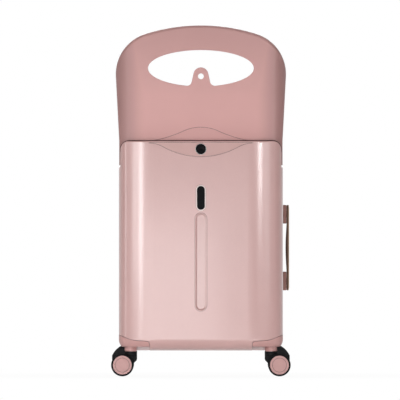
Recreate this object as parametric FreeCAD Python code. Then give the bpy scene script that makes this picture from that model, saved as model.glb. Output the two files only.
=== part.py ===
import FreeCAD
import Part
import math
import os

Vector = FreeCAD.Vector

# Ride-on suitcase, millimetres. X to the right, the front faces -Y, +Z up.
# The origin is on the floor under the middle of the whole object.

# Case
CASE_W = 350.0
CASE_D = 278.0
CASE_BASE_Z = 55.0
CASE_H = 394.0
LIP_H = 53.0
LIP_T = 26.0
FRONT_HALF_D = 110.0
WALL = 3.0
FRONT_CROWN = 8.0
FRONT_FLAT_HALF = 100.0
FRONT_SHOULDER_R = 200.0
FRONT_CORNER_R = 26.0
REAR_CORNER_R = 40.0
BOTTOM_EDGE_R = 24.0
DECK_EDGE_R = 6.0
LIP_CORNER_R = 19.0
LIP_EDGE_R = 3.0

# Clearances
SEAM = 0.4
RUN_FIT = 0.08
SOFT_GAP = 0.3
SIDE_PLAY = 0.5
CUT_PAST = 10.0
SAME = 0.01
NEARBY = 0.1
SHORT_EDGE = 1.0

# Seat lid, standing upright
LID_OVERHANG = -3.6
LID_W = 363.4
LID_ROOT_W = 348.5
LID_CORNER_R = 90.0
LID_CROWN_R = 395.0
LID_T = 4.0
LID_DEPTH = 34.0
LID_BULGE = 7.0
LID_FLAT_HALF = 151.0
LID_SIDE_R = 36.0
LID_EDGE_R = 7.0
LID_GAP = 1.0
LID_PIVOT_BACK = 24.0
LID_PIVOT_UP = 25.0
EAR_T = 12.0
EAR_H = 26.0
RIB_T = 2.5
RIB_H = 7.0
RIB_SPACING = 70.0
RIB_LENGTH = 78.0
HOLE_W = 225.4
HOLE_H = 77.5
HOLE_FROM_TOP = 91.4
TAB_TIP_R = 16.0
TAB_ROOT_W = 51.0
TAB_REACH = 40.5
TAB_FILLET_R = 10.0
TAB_HOLE_D = 12.4
HOLE_EDGE_R = 1.2
TAB_HOLE_FROM_TIP = 19.0
HINGE_PIN_D = 8.0
HINGE_BOSS_R = 9.0
HINGE_BRACKET_T = 12.0
HINGE_BRACKET_FOOT = 36.0
HINGE_BRACKET_TOE = 5.0
HINGE_HEEL_BACK = 1.5
HINGE_WEB_OUT = 0.6
HINGE_WEB_UP = 0.8

# Half-lens plates at the lid's foot and on the lip, with the push button
LENS_T = 1.6
LENS_PROUD = 0.5
LENS_SEAM = 1.4
LID_LENS_HALF = 150.0
LID_LENS_H = 33.0
LID_LENS_END_R = 270.0
LID_LENS_TIP = 2.0
LID_LENS_TOP = 28.6
LIP_LENS_HALF = 110.0
LIP_LENS_H = 29.0
LIP_LENS_END_R = 60.0
LIP_LENS_DOWN = 4.0
BUTTON_D = 21.0
BUTTON_DOWN = 17.5
BUTTON_PROUD = 3.0
BUTTON_HEAD_T = 6.0
BUTTON_TRAVEL = 2.5
BUTTON_STEM_D = 7.0
BUTTON_RIM = 2.0
BUTTON_EDGE_R = 1.2
BUTTON_WIRE_D = 0.8
BUTTON_COIL_D = 10.5

# Plaque and channel on the front face
PLAQUE_W = 17.0
PLAQUE_L = 51.0
PLAQUE_TOP_DOWN = 96.0
PLAQUE_PROUD = 2.0
PLAQUE_EDGE_R = 1.2
PLAQUE_RING_W = 2.4
CHANNEL_W = 27.0
CHANNEL_L = 211.0
CHANNEL_RIM = 5.4
CHANNEL_LAND = 1.8
CHANNEL_PROUD = 1.0
CHANNEL_EDGE_R = 0.8
CHANNEL_FLOOR_T = 0.9
INLAY_DEPTH = 1.8
PLAQUE_TO_CHANNEL = 3.0

# Seat support, trolley handle and catch stud
SUPPORT_H = 31.0
SUPPORT_T = 3.0
SUPPORT_INSET = 7.0
SUPPORT_CORNER_R = 22.0
TROLLEY_SPAN = 136.0
TROLLEY_BEHIND_STUD = 30.75
SLEEVE_D = 22.0
TUBE_T = 1.4
SLEEVE_FOOT_CLEAR = 12.0
BEZEL_W = 196.0
BEZEL_BEFORE_STUD = 15.25
BEZEL_BACK = 17.0
BEZEL_T = 6.0
BEZEL_CORNER_R = 10.0
BEZEL_EDGE_R = 1.5
FOOT_W = 172.0
FOOT_D = 28.0
FOOT_H = 26.0
TUBE_STEP = 1.0
GRIP_GAP = 1.0
GRIP_L = 172.0
GRIP_D = 22.0
GRIP_H = 31.0
GRIP_EDGE_R = 5.0
GRIP_SOCKET = 20.0
GRIP_BUTTON_L = 44.0
GRIP_BUTTON_W = 11.0
GRIP_BUTTON_EDGE_R = 1.2
GRIP_BUTTON_PROUD = 2.0
GRIP_BUTTON_T = 6.0
GRIP_BUTTON_TRAVEL = 4.0
STUD_POST_D = 20.0
STUD_PIN_D = 10.4
STUD_PIN_H = 6.0
STUD_GAP = 1.0

# Side carry handle on the right wall
HANDLE_Y = 45.0
HANDLE_MID_Z = 274.0
HANDLE_SPAN = 143.0
HANDLE_L = 183.0
MOUNT_H = 40.0
MOUNT_W = 26.0
MOUNT_PROUD = 8.4
MOUNT_DEPTH = 30.0
MOUNT_LIP = 4.0
MOUNT_CORNER_R = 5.0
MOUNT_EDGE_R = 1.5
LEG_H = 14.0
LEG_T = 6.0
LEG_REACH = 24.0
STRAP_W = 22.0
STRAP_T = 2.4
STRAP_COVER_T = 2.6
STRAP_COVER_EDGE_R = 1.5
STRAP_END_FLAT = 2.0
STRAP_STAND_OFF = 9.0

# Case hinges on the left, zip on the other sides
ZIP_GAP = 12.0
HINGE_INSET = 4.0
KNUCKLE_R = 3.2
CASE_PIN_D = 3.0
LEAF_L = 44.0
LEAF_T = 2.0
LEAF_DEPTH = 30.0
HINGE_HEIGHTS = (150.0, 350.0)
TAPE_T = 1.5
TAPE_SEWN = 8.0
TAPE_HALF_GAP = 0.2
TAPE_FROM_HINGE = 26.0
SLIDER_L = 14.0
SLIDER_W = 5.0
SLIDER_T = 2.4
SLIDER_EDGE_R = 0.8
SLIDER_HEIGHTS = (120.0, 145.0)
LINING_T = 1.2
LINING_BACK_GAP = 3.0
STRAP_BAND_W = 30.0
STRAP_BAND_T = 1.5
STRAP_BAND_HEIGHTS = (190.0, 300.0)

# Corner brackets and casters
BRACKET_W = 66.0
BRACKET_D = 80.0
BRACKET_H = 34.0
BRACKET_KNEE_IN = 27.0
BRACKET_KNEE_H = 23.0
BRACKET_KNEE_R = 50.0
BRACKET_INNER_H = 20.0
BRACKET_CORNER_R = 7.0
BRACKET_SOLE_UP = 8.5
BRACKET_GROOVE_W = 1.0
BRACKET_GROOVE_DEPTH = 1.5
STEM_X = 150.0
STEM_FROM_EDGE = 45.0
BOSS_D = 27.0
BOSS_BOTTOM_Z = 52.6
BOSS_EDGE_R = 3.0
SCREW_HEAD_D = 7.0
SCREW_HEAD_T = 2.2
SCREW_D = 3.6
SCREW_L = 10.0
SCREW_RING_R = 19.5
WHEEL_D = 48.0
WHEEL_W = 14.0
HUB_D = 40.0
HUB_DISH = 1.5
HUB_RIM_W = 4.5
HUB_GROOVE_W = 1.0
HUB_FACE_IN = 0.5
TYRE_SHOULDER_R = 2.2
AXLE_D = 6.0
AXLE_COVER_T = 1.0
TRAIL = 17.5
FORK_T = 11.0
FORK_R = 44.5
FORK_SHY = 2.0
FORK_TOP_Z = 62.6
FORK_INNER = 13.0
FORK_LOW = 10.0
FORK_HEEL_UP = 10.0
FORK_HEEL_IN = 10.0
FORK_PLATE_D = 26.0
FORK_PLATE_T = 7.0
SWIVEL_PIN_D = 8.0
SWIVEL_PIN_UP = 20.0
SWIVEL_PIN_DOWN = 12.0
FORK_GAP = 0.6

# Worked-out places
HALF_W = CASE_W / 2
MID_Y = BUTTON_PROUD / 2
FRONT_Y = MID_Y - CASE_D / 2
BACK_Y = MID_Y + CASE_D / 2
DECK_Z = CASE_BASE_Z + CASE_H
LIP_TOP_Z = DECK_Z + LIP_H
LIP_BACK_Y = FRONT_Y + LIP_T
SPLIT_Y = FRONT_Y + FRONT_HALF_D
FRONT_EDGE_Y = SPLIT_Y - ZIP_GAP / 2
REAR_EDGE_Y = SPLIT_Y + ZIP_GAP / 2
CROWN_R = (HALF_W ** 2 + FRONT_CROWN ** 2) / (2 * FRONT_CROWN)
LID_FACE_Y = LIP_BACK_Y + LID_GAP
PIVOT_Y = LID_FACE_Y + LID_PIVOT_BACK
PIVOT_Z = DECK_Z + LID_PIVOT_UP
LID_TOP_Z = PIVOT_Z + CASE_D + LID_OVERHANG
LID_BACK_Y = LID_FACE_Y + LID_DEPTH
LID_BULGE_R = ((LID_ROOT_W / 2) ** 2 + LID_BULGE ** 2) / (2 * LID_BULGE)
EAR_R = LID_PIVOT_BACK
EAR_INNER_X = LID_ROOT_W / 2 - EAR_T
HOLE_Z = LID_TOP_Z - HOLE_FROM_TOP
TAB_TIP_Z = HOLE_Z - HOLE_H / 2 + TAB_REACH
TAB_HOLE_Z = TAB_TIP_Z - TAB_HOLE_FROM_TIP
STUD_Y = PIVOT_Y + TAB_HOLE_Z - PIVOT_Z
CLOSED_TOP_Z = PIVOT_Z + LID_PIVOT_BACK
BUTTON_Z = LIP_TOP_Z - BUTTON_DOWN
TROLLEY_Y = STUD_Y + TROLLEY_BEHIND_STUD
MIDDLE_D = SLEEVE_D - 2 * TUBE_T - 2 * RUN_FIT
INNER_D = MIDDLE_D - 2 * TUBE_T - 2 * RUN_FIT
BEZEL_TOP_Z = DECK_Z + BEZEL_T
GRIP_BOTTOM_Z = BEZEL_TOP_Z + GRIP_GAP
GRIP_TOP_Z = GRIP_BOTTOM_Z + GRIP_H
HINGE_X = -HALF_W + HINGE_INSET
SOLE_Z = CASE_BASE_Z + BRACKET_SOLE_UP
AXLE_Z = WHEEL_D / 2
SHOULDER_SWEEP = math.radians(60)
LID_SIDE_SWEEP = math.radians(75)
CASE_CROWN = (FRONT_Y, FRONT_FLAT_HALF, CROWN_R, FRONT_SHOULDER_R)
LID_CROWN = (LID_FACE_Y, LID_FLAT_HALF, LID_BULGE_R, LID_SIDE_R)
STEM_Y = CASE_D / 2 - STEM_FROM_EDGE

X_AXIS = Vector(1, 0, 0)
Y_AXIS = Vector(0, 1, 0)


def block(x0, x1, y0, y1, z0, z1):
    """A box between two corners."""
    return Part.makeBox(x1 - x0, y1 - y0, z1 - z0, Vector(x0, y0, z0))


def rod(diameter, start, end):
    """A round bar from one point to another."""
    way = end - start
    return Part.makeCylinder(diameter / 2, way.Length, start, way)


def fillet(shape, radius, wanted):
    """Rounds the edges that the test picks."""
    return shape.makeFillet(radius, [edge for edge in shape.Edges if wanted(edge)])


def is_upright(edge):
    """True for a straight vertical edge."""
    box = edge.BoundBox
    return box.XLength < SAME and box.YLength < SAME


def lies_at(edge, z):
    """True for an edge that lies in one level plane."""
    box = edge.BoundBox
    return abs(box.ZMin - z) < SAME and abs(box.ZMax - z) < SAME


def prism_y(wire, y0, y1):
    """Extrudes a closed wire, drawn at y = 0, between two depths."""
    face = Part.Face(wire)
    face.translate(Vector(0, y0, 0))
    return face.extrude(Vector(0, y1 - y0, 0))


def line(a, b):
    return Part.LineSegment(a, b).toShape()


def arc(a, b, c):
    return Part.Arc(a, b, c).toShape()


def front_point(x, z):
    return Vector(x, 0, z)


def stadium_wire(x, z, width, length):
    """A long upright rounded outline, centred at x, z."""
    r = width / 2
    up = length / 2 - r
    left_low = front_point(x - r, z - up)
    left_high = front_point(x - r, z + up)
    right_low = front_point(x + r, z - up)
    right_high = front_point(x + r, z + up)
    edges = [
        line(left_low, left_high),
        arc(left_high, front_point(x, z + up + r), right_high),
        line(right_high, right_low),
        arc(right_low, front_point(x, z - up - r), left_low),
    ]
    return Part.Wire(edges)


def ogee_wire(half, height, end_radius, base_z, sign):
    """Half-lens outline: one broad arc that runs out in two reversed end arcs."""
    total = (half ** 2 + height ** 2) / (2 * height)
    broad = total - end_radius
    share = broad / total
    join_x = half * share
    join_up = (height - broad) + (end_radius - height + broad) * share
    mid_angle = math.asin(half / total) / 2
    end_x = half - end_radius * math.sin(mid_angle)
    end_up = end_radius * (1 - math.cos(mid_angle))

    def at(x, up):
        return front_point(x, base_z + sign * up)

    edges = [
        line(at(half, 0), at(-half, 0)),
        arc(at(-half, 0), at(-end_x, end_up), at(-join_x, join_up)),
        arc(at(-join_x, join_up), at(0, height), at(join_x, join_up)),
        arc(at(join_x, join_up), at(end_x, end_up), at(half, 0)),
    ]
    return Part.Wire(edges)


def grown(wire, gap):
    """The outline drawn out by a gap all round."""
    if not gap:
        return wire
    return Part.Face(wire).makeOffset2D(gap).OuterWire


def crown_turn(flat_half, crown_r):
    """The angle at which a crown's broad arc hands over to the arc of its side."""
    return math.asin(flat_half / crown_r)


def crown_side_axis(face_y, flat_half, crown_r, side_r):
    """Where the arc of a crown's right side is centred, seen from above."""
    turn = crown_turn(flat_half, crown_r)
    away = crown_r - side_r
    return away * math.sin(turn), face_y + crown_r - away * math.cos(turn)


def crowned_block(crown, sweep, inset):
    """A tall block with a crowned front: a broad arc between two tighter side arcs."""
    face_y, flat_half, crown_r, side_r = crown
    turn = crown_turn(flat_half, crown_r)
    axis_x, axis_y = crown_side_axis(*crown)
    radius = side_r - inset

    def on_side(side, angle):
        x = axis_x + radius * math.sin(angle)
        return Vector(side * x, axis_y - radius * math.cos(angle), -LID_TOP_Z)

    ends = [on_side(side, sweep) for side in (-1, 1)]
    backs = [Vector(end.x, CASE_D, -LID_TOP_Z) for end in ends]
    edges = [
        arc(ends[0], on_side(-1, (turn + sweep) / 2), on_side(-1, turn)),
        arc(on_side(-1, turn), Vector(0, face_y + inset, -LID_TOP_Z), on_side(1, turn)),
        arc(on_side(1, turn), on_side(1, (turn + sweep) / 2), ends[1]),
        line(ends[1], backs[1]),
        line(backs[1], backs[0]),
        line(backs[0], ends[0]),
    ]
    return Part.Face(Part.Wire(edges)).extrude(Vector(0, 0, 3 * LID_TOP_Z))


def front_layer(face_y, radius, outer, inner):
    """The layer of a bulged front between two distances outside its face."""
    centre_y = face_y + radius
    height = 3 * LID_TOP_Z
    start = Vector(0, centre_y, -LID_TOP_Z)
    return Part.makeCylinder(radius + outer, height, start).cut(
        Part.makeCylinder(radius + inner, height, start))


def case_block(inset, back_y=None, deck_edge=0.0):
    """The case's outer form, drawn in on every side by the inset."""
    half = HALF_W - inset
    y0 = FRONT_Y + inset
    y1 = BACK_Y - inset if back_y is None else back_y
    z0 = CASE_BASE_Z + inset
    z1 = DECK_Z - inset
    body = block(-half, half, y0 - FRONT_CROWN, y1, z0, z1)
    body = body.common(crowned_block(CASE_CROWN, SHOULDER_SWEEP, inset))
    middle = (y0 + y1) / 2
    body = fillet(body, FRONT_CORNER_R - inset,
                  lambda e: is_upright(e) and e.BoundBox.YMax < middle)
    body = fillet(body, REAR_CORNER_R - inset,
                  lambda e: is_upright(e) and e.BoundBox.YMin > middle)
    body = fillet(body, BOTTOM_EDGE_R - inset, lambda e: lies_at(e, z0))
    if deck_edge:
        body = fillet(body, deck_edge, lambda e: lies_at(e, z1))
    return body


def corner_x(inset, y):
    """How far out the rounded front corner's wall stands at a given depth."""
    radius = FRONT_CORNER_R - inset
    shoulder_x, shoulder_y = crown_side_axis(*CASE_CROWN)
    axis_x = HALF_W - FRONT_CORNER_R
    axis_y = shoulder_y - math.sqrt((FRONT_SHOULDER_R - FRONT_CORNER_R) ** 2 - (axis_x - shoulder_x) ** 2)
    return axis_x + math.sqrt(radius ** 2 - (y - axis_y) ** 2)


def lip_block(inset):
    """The raised front lip, drawn in by the inset, reaching down into the case."""
    half = HALF_W - inset
    y0 = FRONT_Y + inset
    z0 = DECK_Z - LIP_H
    z1 = LIP_TOP_Z - inset
    body = block(-half, half, y0 - FRONT_CROWN, SPLIT_Y, z0, z1)
    body = body.common(crowned_block(CASE_CROWN, SHOULDER_SWEEP, inset))
    body = fillet(body, FRONT_CORNER_R - inset,
                  lambda e: is_upright(e) and e.BoundBox.YMax < LIP_BACK_Y)
    body = body.common(block(-half, half, y0 - FRONT_CROWN, LIP_BACK_Y - inset, z0, z1))
    if not inset:
        body = fillet(body, LIP_EDGE_R, lambda e: lies_at(e, LIP_TOP_Z))
    reach = corner_x(inset, LIP_BACK_Y - inset)
    front = block(-reach, reach, y0 - FRONT_CROWN, SPLIT_Y, z0, z1)
    front = fillet(front, LIP_CORNER_R - inset,
                   lambda e: e.BoundBox.YLength > SHORT_EDGE and lies_at(e, z1))
    return body.common(front)


def corner_zone(side, end, grow):
    """The space of one corner bracket; side -1 is left, end -1 is front."""
    inner_x = HALF_W - BRACKET_W - grow
    top_z = CASE_BASE_Z + BRACKET_INNER_H + grow
    knee_x = HALF_W - BRACKET_KNEE_IN
    knee_z = CASE_BASE_Z + BRACKET_KNEE_H + grow
    rise = (BRACKET_H - BRACKET_KNEE_H) / BRACKET_KNEE_IN
    far_x = CASE_W - inner_x
    corners = [
        front_point(side * inner_x, 0),
        front_point(side * inner_x, top_z),
        front_point(side * knee_x, knee_z),
        front_point(side * far_x, knee_z + rise * (far_x - knee_x)),
        front_point(side * far_x, 0),
    ]
    edge = MID_Y + end * CASE_D
    inner = MID_Y + end * (CASE_D / 2 - BRACKET_D - grow)
    ys = sorted((edge, inner))
    zone = prism_y(Part.makePolygon(corners + corners[:1]), ys[0], ys[1])
    zone = fillet(zone, BRACKET_CORNER_R + grow, lambda e: abs(e.BoundBox.ZMin - top_z) < SAME
                  and e.BoundBox.YLength > BRACKET_D)
    return fillet(zone, BRACKET_KNEE_R, lambda e: abs(e.BoundBox.ZMin - knee_z) < SAME
                  and e.BoundBox.YLength > BRACKET_D)


def stem_place(side, end):
    return Vector(side * STEM_X, MID_Y + end * STEM_Y, 0)


def bracket_screws(side, end):
    """Four screws around the swivel boss, heads under the sole."""
    stem = stem_place(side, end)
    screws = []
    for quarter in range(4):
        angle = math.radians(45 + 90 * quarter)
        foot = stem + Vector(SCREW_RING_R * math.cos(angle), SCREW_RING_R * math.sin(angle), SOLE_Z)
        head = rod(SCREW_HEAD_D, foot, foot + Vector(0, 0, SCREW_HEAD_T))
        shank = rod(SCREW_D, foot, foot + Vector(0, 0, SCREW_L))
        screws.append(head.fuse(shank))
    return screws


def corner_bracket(side, end):
    """A hollow corner cap, stepped at its rim, with the swivel boss and its bore."""
    outer = case_block(0).common(corner_zone(side, end, -BRACKET_GROOVE_W))
    outer = outer.fuse(case_block(BRACKET_GROOVE_DEPTH).common(corner_zone(side, end, -SEAM)))
    outer = outer.cut(block(-CASE_W, CASE_W, -CASE_D, CASE_D, 0, SOLE_Z))
    stem = stem_place(side, end)
    pocket = case_block(WALL).common(corner_zone(side, end, -BRACKET_GROOVE_W - WALL))
    pocket = pocket.cut(block(-CASE_W, CASE_W, -CASE_D, CASE_D, 0, SOLE_Z + WALL))
    pillar_r = SCREW_RING_R + SCREW_HEAD_D
    pocket = pocket.cut(Part.makeCylinder(pillar_r, DECK_Z, stem))
    boss = rod(BOSS_D, stem + Vector(0, 0, BOSS_BOTTOM_Z), stem + Vector(0, 0, SOLE_Z + WALL))
    boss = fillet(boss, BOSS_EDGE_R, lambda e: lies_at(e, BOSS_BOTTOM_Z))
    bore = rod(SWIVEL_PIN_D + 2 * RUN_FIT, stem, stem + Vector(0, 0, BOSS_BOTTOM_Z + SWIVEL_PIN_UP + SEAM))
    bracket = outer.cut(pocket).fuse(boss).cut(bore)
    for screw in bracket_screws(side, end):
        bracket = bracket.cut(screw)
    return bracket


def inner_space(inset, grow):
    """The case's hollow, kept clear of the corner pockets on its floor."""
    space = case_block(inset)
    for side in (-1, 1):
        for end in (-1, 1):
            space = space.cut(corner_zone(side, end, grow))
    return space


def shell(front):
    """One half of the case: outer form less its hollow and the corner zones."""
    body = case_block(0, deck_edge=DECK_EDGE_R)
    hollow = inner_space(WALL, WALL)
    if front:
        body = body.common(block(-CASE_W, CASE_W, -CASE_D, FRONT_EDGE_Y, 0, LIP_TOP_Z))
        body = body.fuse(lip_block(0))
        hollow = hollow.fuse(lip_block(WALL))
    else:
        body = body.common(block(-CASE_W, CASE_W, REAR_EDGE_Y, CASE_D, 0, LIP_TOP_Z))
    body = body.cut(hollow)
    end = -1 if front else 1
    for side in (-1, 1):
        body = body.cut(corner_zone(side, end, 0))
    return body


def lens_base_z():
    return LIP_TOP_Z - LIP_LENS_DOWN


def lip_lens(grow):
    wire = grown(ogee_wire(LIP_LENS_HALF, LIP_LENS_H, LIP_LENS_END_R, lens_base_z(), -1), grow)
    return prism_y(wire, FRONT_Y - CUT_PAST, LIP_BACK_Y)


def plaque_mid_z():
    return LIP_TOP_Z - PLAQUE_TOP_DOWN - PLAQUE_L / 2


def channel_mid_z():
    return plaque_mid_z() - PLAQUE_L / 2 - PLAQUE_RING_W - PLAQUE_TO_CHANNEL - CHANNEL_L / 2


def plaque_outline(grow):
    return stadium_wire(0, plaque_mid_z(), PLAQUE_W + 2 * grow, PLAQUE_L + 2 * grow)


def channel_outline(grow):
    return stadium_wire(0, channel_mid_z(), CHANNEL_W + 2 * grow, CHANNEL_L + 2 * grow)


def front_shell():
    body = shell(True)
    body = body.cut(lip_lens(LENS_SEAM).common(front_layer(FRONT_Y, CROWN_R, CUT_PAST, LENS_PROUD - LENS_T)))
    bore = BUTTON_D + 2 * SEAM
    body = body.cut(rod(bore, button_at(FRONT_Y - CUT_PAST), button_at(FRONT_Y + WALL + CUT_PAST)))
    floor_y = FRONT_Y + INLAY_DEPTH
    body = body.cut(prism_y(plaque_outline(PLAQUE_RING_W), FRONT_Y - CUT_PAST, floor_y))
    body = body.cut(prism_y(channel_outline(0), FRONT_Y - CUT_PAST, floor_y))
    return body


def lip_plate():
    """The half-lens plate let into the lip, with the button's hole."""
    plate = lip_lens(0).common(front_layer(FRONT_Y, CROWN_R, LENS_PROUD, LENS_PROUD - LENS_T))
    bore = BUTTON_D + 2 * SEAM
    return plate.cut(rod(bore, button_at(FRONT_Y - CUT_PAST), button_at(LIP_BACK_Y)))


def button_at(y):
    return Vector(0, y, BUTTON_Z)


def push_button():
    """Domed head with a stem behind it."""
    front = FRONT_Y - BUTTON_PROUD
    back = front + BUTTON_HEAD_T
    head = rod(BUTTON_D, button_at(front), button_at(back))
    head = fillet(head, BUTTON_EDGE_R, lambda e: e.BoundBox.YMax < front + NEARBY)
    stem_end = LIP_BACK_Y - WALL - BUTTON_TRAVEL - SIDE_PLAY
    return head.fuse(rod(BUTTON_STEM_D, button_at(back), button_at(stem_end)))


def button_housing():
    """The cup behind the button, seated on the lip's back wall."""
    outer = BUTTON_D + 2 * SEAM + 2 * BUTTON_RIM
    front = FRONT_Y + WALL + SEAM
    back = LIP_BACK_Y - WALL
    cup = rod(outer, button_at(front), button_at(back))
    well = rod(BUTTON_D + 2 * SEAM, button_at(front), button_at(back - BUTTON_RIM))
    hole = rod(BUTTON_STEM_D + 2 * SEAM, button_at(front), button_at(back))
    return cup.cut(well).cut(hole)


def button_spring():
    """Return spring around the stem, as the sleeve that its turns fill."""
    start = FRONT_Y - BUTTON_PROUD + BUTTON_HEAD_T + SEAM
    end = LIP_BACK_Y - WALL - BUTTON_RIM
    coil = rod(BUTTON_COIL_D, button_at(start), button_at(end))
    return coil.cut(rod(BUTTON_COIL_D - 2 * BUTTON_WIRE_D, button_at(start), button_at(end)))


def front_plaque():
    slab = prism_y(plaque_outline(-SEAM), FRONT_Y - PLAQUE_PROUD, FRONT_Y + INLAY_DEPTH)
    return fillet(slab, PLAQUE_EDGE_R, lambda e: e.BoundBox.YMax < FRONT_Y - PLAQUE_PROUD + NEARBY)


def channel_groove(front_y, floor_y):
    """The channel's hollow, whose sides slope from the rim's land down to its floor."""
    slope = (CHANNEL_RIM - CHANNEL_LAND) / (floor_y - front_y)
    mouth = channel_outline(CUT_PAST * slope - CHANNEL_LAND)
    mouth.translate(Vector(0, front_y - CUT_PAST, 0))
    floor = channel_outline(-CHANNEL_RIM)
    floor.translate(Vector(0, floor_y, 0))
    return Part.makeLoft([mouth, floor], True, True)


def channel_trim():
    """The raised channel rim with its sunk floor, and the ring around the plaque."""
    bottom = FRONT_Y + INLAY_DEPTH
    slab = prism_y(channel_outline(-SEAM), FRONT_Y - CHANNEL_PROUD, bottom)
    slab = fillet(slab, CHANNEL_EDGE_R, lambda e: e.BoundBox.YMax < FRONT_Y - CHANNEL_PROUD + NEARBY)
    slab = slab.cut(channel_groove(FRONT_Y - CHANNEL_PROUD, bottom - CHANNEL_FLOOR_T))
    ring = prism_y(plaque_outline(PLAQUE_RING_W - SEAM), FRONT_Y - CHANNEL_PROUD, bottom)
    ring = ring.cut(prism_y(plaque_outline(0), FRONT_Y - CUT_PAST, bottom))
    return Part.makeCompound([slab, ring])


def lid_outline(inset):
    """The lid's front outline: ears, tapered sides, corner arcs and a broad top arc."""
    half_root = LID_ROOT_W / 2 - inset
    corner_r = LID_CORNER_R - inset
    crown_r = LID_CROWN_R - inset
    crown_z = LID_TOP_Z - LID_CROWN_R
    corner_x = LID_W / 2 - LID_CORNER_R
    corner_z = crown_z + math.sqrt((LID_CROWN_R - LID_CORNER_R) ** 2 - corner_x ** 2)
    foot_z = PIVOT_Z - EAR_R
    root_z = LIP_TOP_Z
    dx = half_root - corner_x
    dz = root_z - corner_z
    reach = math.hypot(dx, dz)
    angle = math.atan2(dz, dx) + math.acos(corner_r / reach)
    side = front_point(corner_x + corner_r * math.cos(angle), corner_z + corner_r * math.sin(angle))
    turn = math.atan2(corner_z - crown_z, corner_x)
    top = front_point(crown_r * math.cos(turn), crown_z + crown_r * math.sin(turn))
    mid = (angle + turn) / 2
    bend = front_point(corner_x + corner_r * math.cos(mid), corner_z + corner_r * math.sin(mid))

    def left(p):
        return Vector(-p.x, p.y, p.z)

    foot = front_point(half_root, foot_z)
    root = front_point(half_root, root_z)
    edges = [
        line(left(foot), foot),
        line(foot, root),
        line(root, side),
        arc(side, bend, top),
        arc(top, front_point(0, crown_z + crown_r), left(top)),
        arc(left(top), left(bend), left(side)),
        line(left(side), left(root)),
        line(left(root), left(foot)),
    ]
    return Part.Wire(edges)


def lid_tray(inset, back_y):
    """The lid's outline with the bulged front, drawn in by the inset."""
    face = LID_FACE_Y + inset
    tray = prism_y(lid_outline(inset), face - LID_BULGE, back_y)
    tray = tray.common(crowned_block(LID_CROWN, LID_SIDE_SWEEP, inset))
    low = PIVOT_Z - EAR_R
    flat = LID_FLAT_HALF + SHORT_EDGE
    return fillet(tray, LID_EDGE_R - inset, lambda e: e.BoundBox.YMax < back_y - SHORT_EDGE
                  and e.BoundBox.ZMax > low + SHORT_EDGE
                  and not (is_upright(e) and e.BoundBox.XMax < flat and e.BoundBox.XMin > -flat))


def pivot_rod(radius, x0, x1):
    return rod(2 * radius, Vector(x0, PIVOT_Y, PIVOT_Z), Vector(x1, PIVOT_Y, PIVOT_Z))


def lid_hole():
    """The oval hole, less the tab that rises into it."""
    oval = Part.Ellipse(Vector(0, 0, 0), HOLE_W / 2, HOLE_H / 2).toShape()
    oval.rotate(Vector(0, 0, 0), X_AXIS, 90)
    oval.translate(Vector(0, 0, HOLE_Z))
    hole = prism_y(Part.Wire(oval), LID_FACE_Y - CUT_PAST, LID_BACK_Y + CUT_PAST)
    tip_z = TAB_TIP_Z - TAB_TIP_R
    low_z = HOLE_Z - HOLE_H / 2 - TAB_TIP_R
    drop = tip_z - low_z
    away = math.hypot(TAB_ROOT_W / 2, drop)
    lean = math.acos(TAB_TIP_R / away) - math.atan2(drop, TAB_ROOT_W / 2)
    side_x = TAB_TIP_R * math.cos(lean)
    side_z = tip_z + TAB_TIP_R * math.sin(lean)
    corners = [
        front_point(-TAB_ROOT_W / 2, low_z),
        front_point(TAB_ROOT_W / 2, low_z),
        front_point(side_x, side_z),
        front_point(-side_x, side_z),
    ]
    wire = Part.makePolygon(corners + corners[:1])
    tab = prism_y(wire, LID_FACE_Y - CUT_PAST, LID_BACK_Y + CUT_PAST)
    tab = tab.fuse(rod(2 * TAB_TIP_R, front_point(0, tip_z) + Vector(0, LID_FACE_Y - CUT_PAST, 0),
                       front_point(0, tip_z) + Vector(0, LID_BACK_Y + CUT_PAST, 0)))
    hole = hole.cut(tab)
    hole = fillet(hole, TAB_FILLET_R, lambda e: e.BoundBox.XLength < SAME
                  and e.BoundBox.ZLength < SAME and e.BoundBox.ZMax < tip_z)
    eye = rod(TAB_HOLE_D, Vector(0, LID_FACE_Y - CUT_PAST, TAB_HOLE_Z),
              Vector(0, LID_BACK_Y + CUT_PAST, TAB_HOLE_Z))
    return hole.fuse(eye)


def lid_lens(grow):
    base = LIP_TOP_Z + LID_LENS_TOP - LID_LENS_H
    wire = grown(ogee_wire(LID_LENS_HALF, LID_LENS_H, LID_LENS_END_R, base, 1), grow)
    lens = prism_y(wire, LID_FACE_Y - CUT_PAST, LID_FACE_Y + LID_PIVOT_BACK)
    tips = block(-LID_W, LID_W, -CASE_D, CASE_D, 0, base + LID_LENS_TIP - grow)
    return lens.cut(tips)


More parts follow.
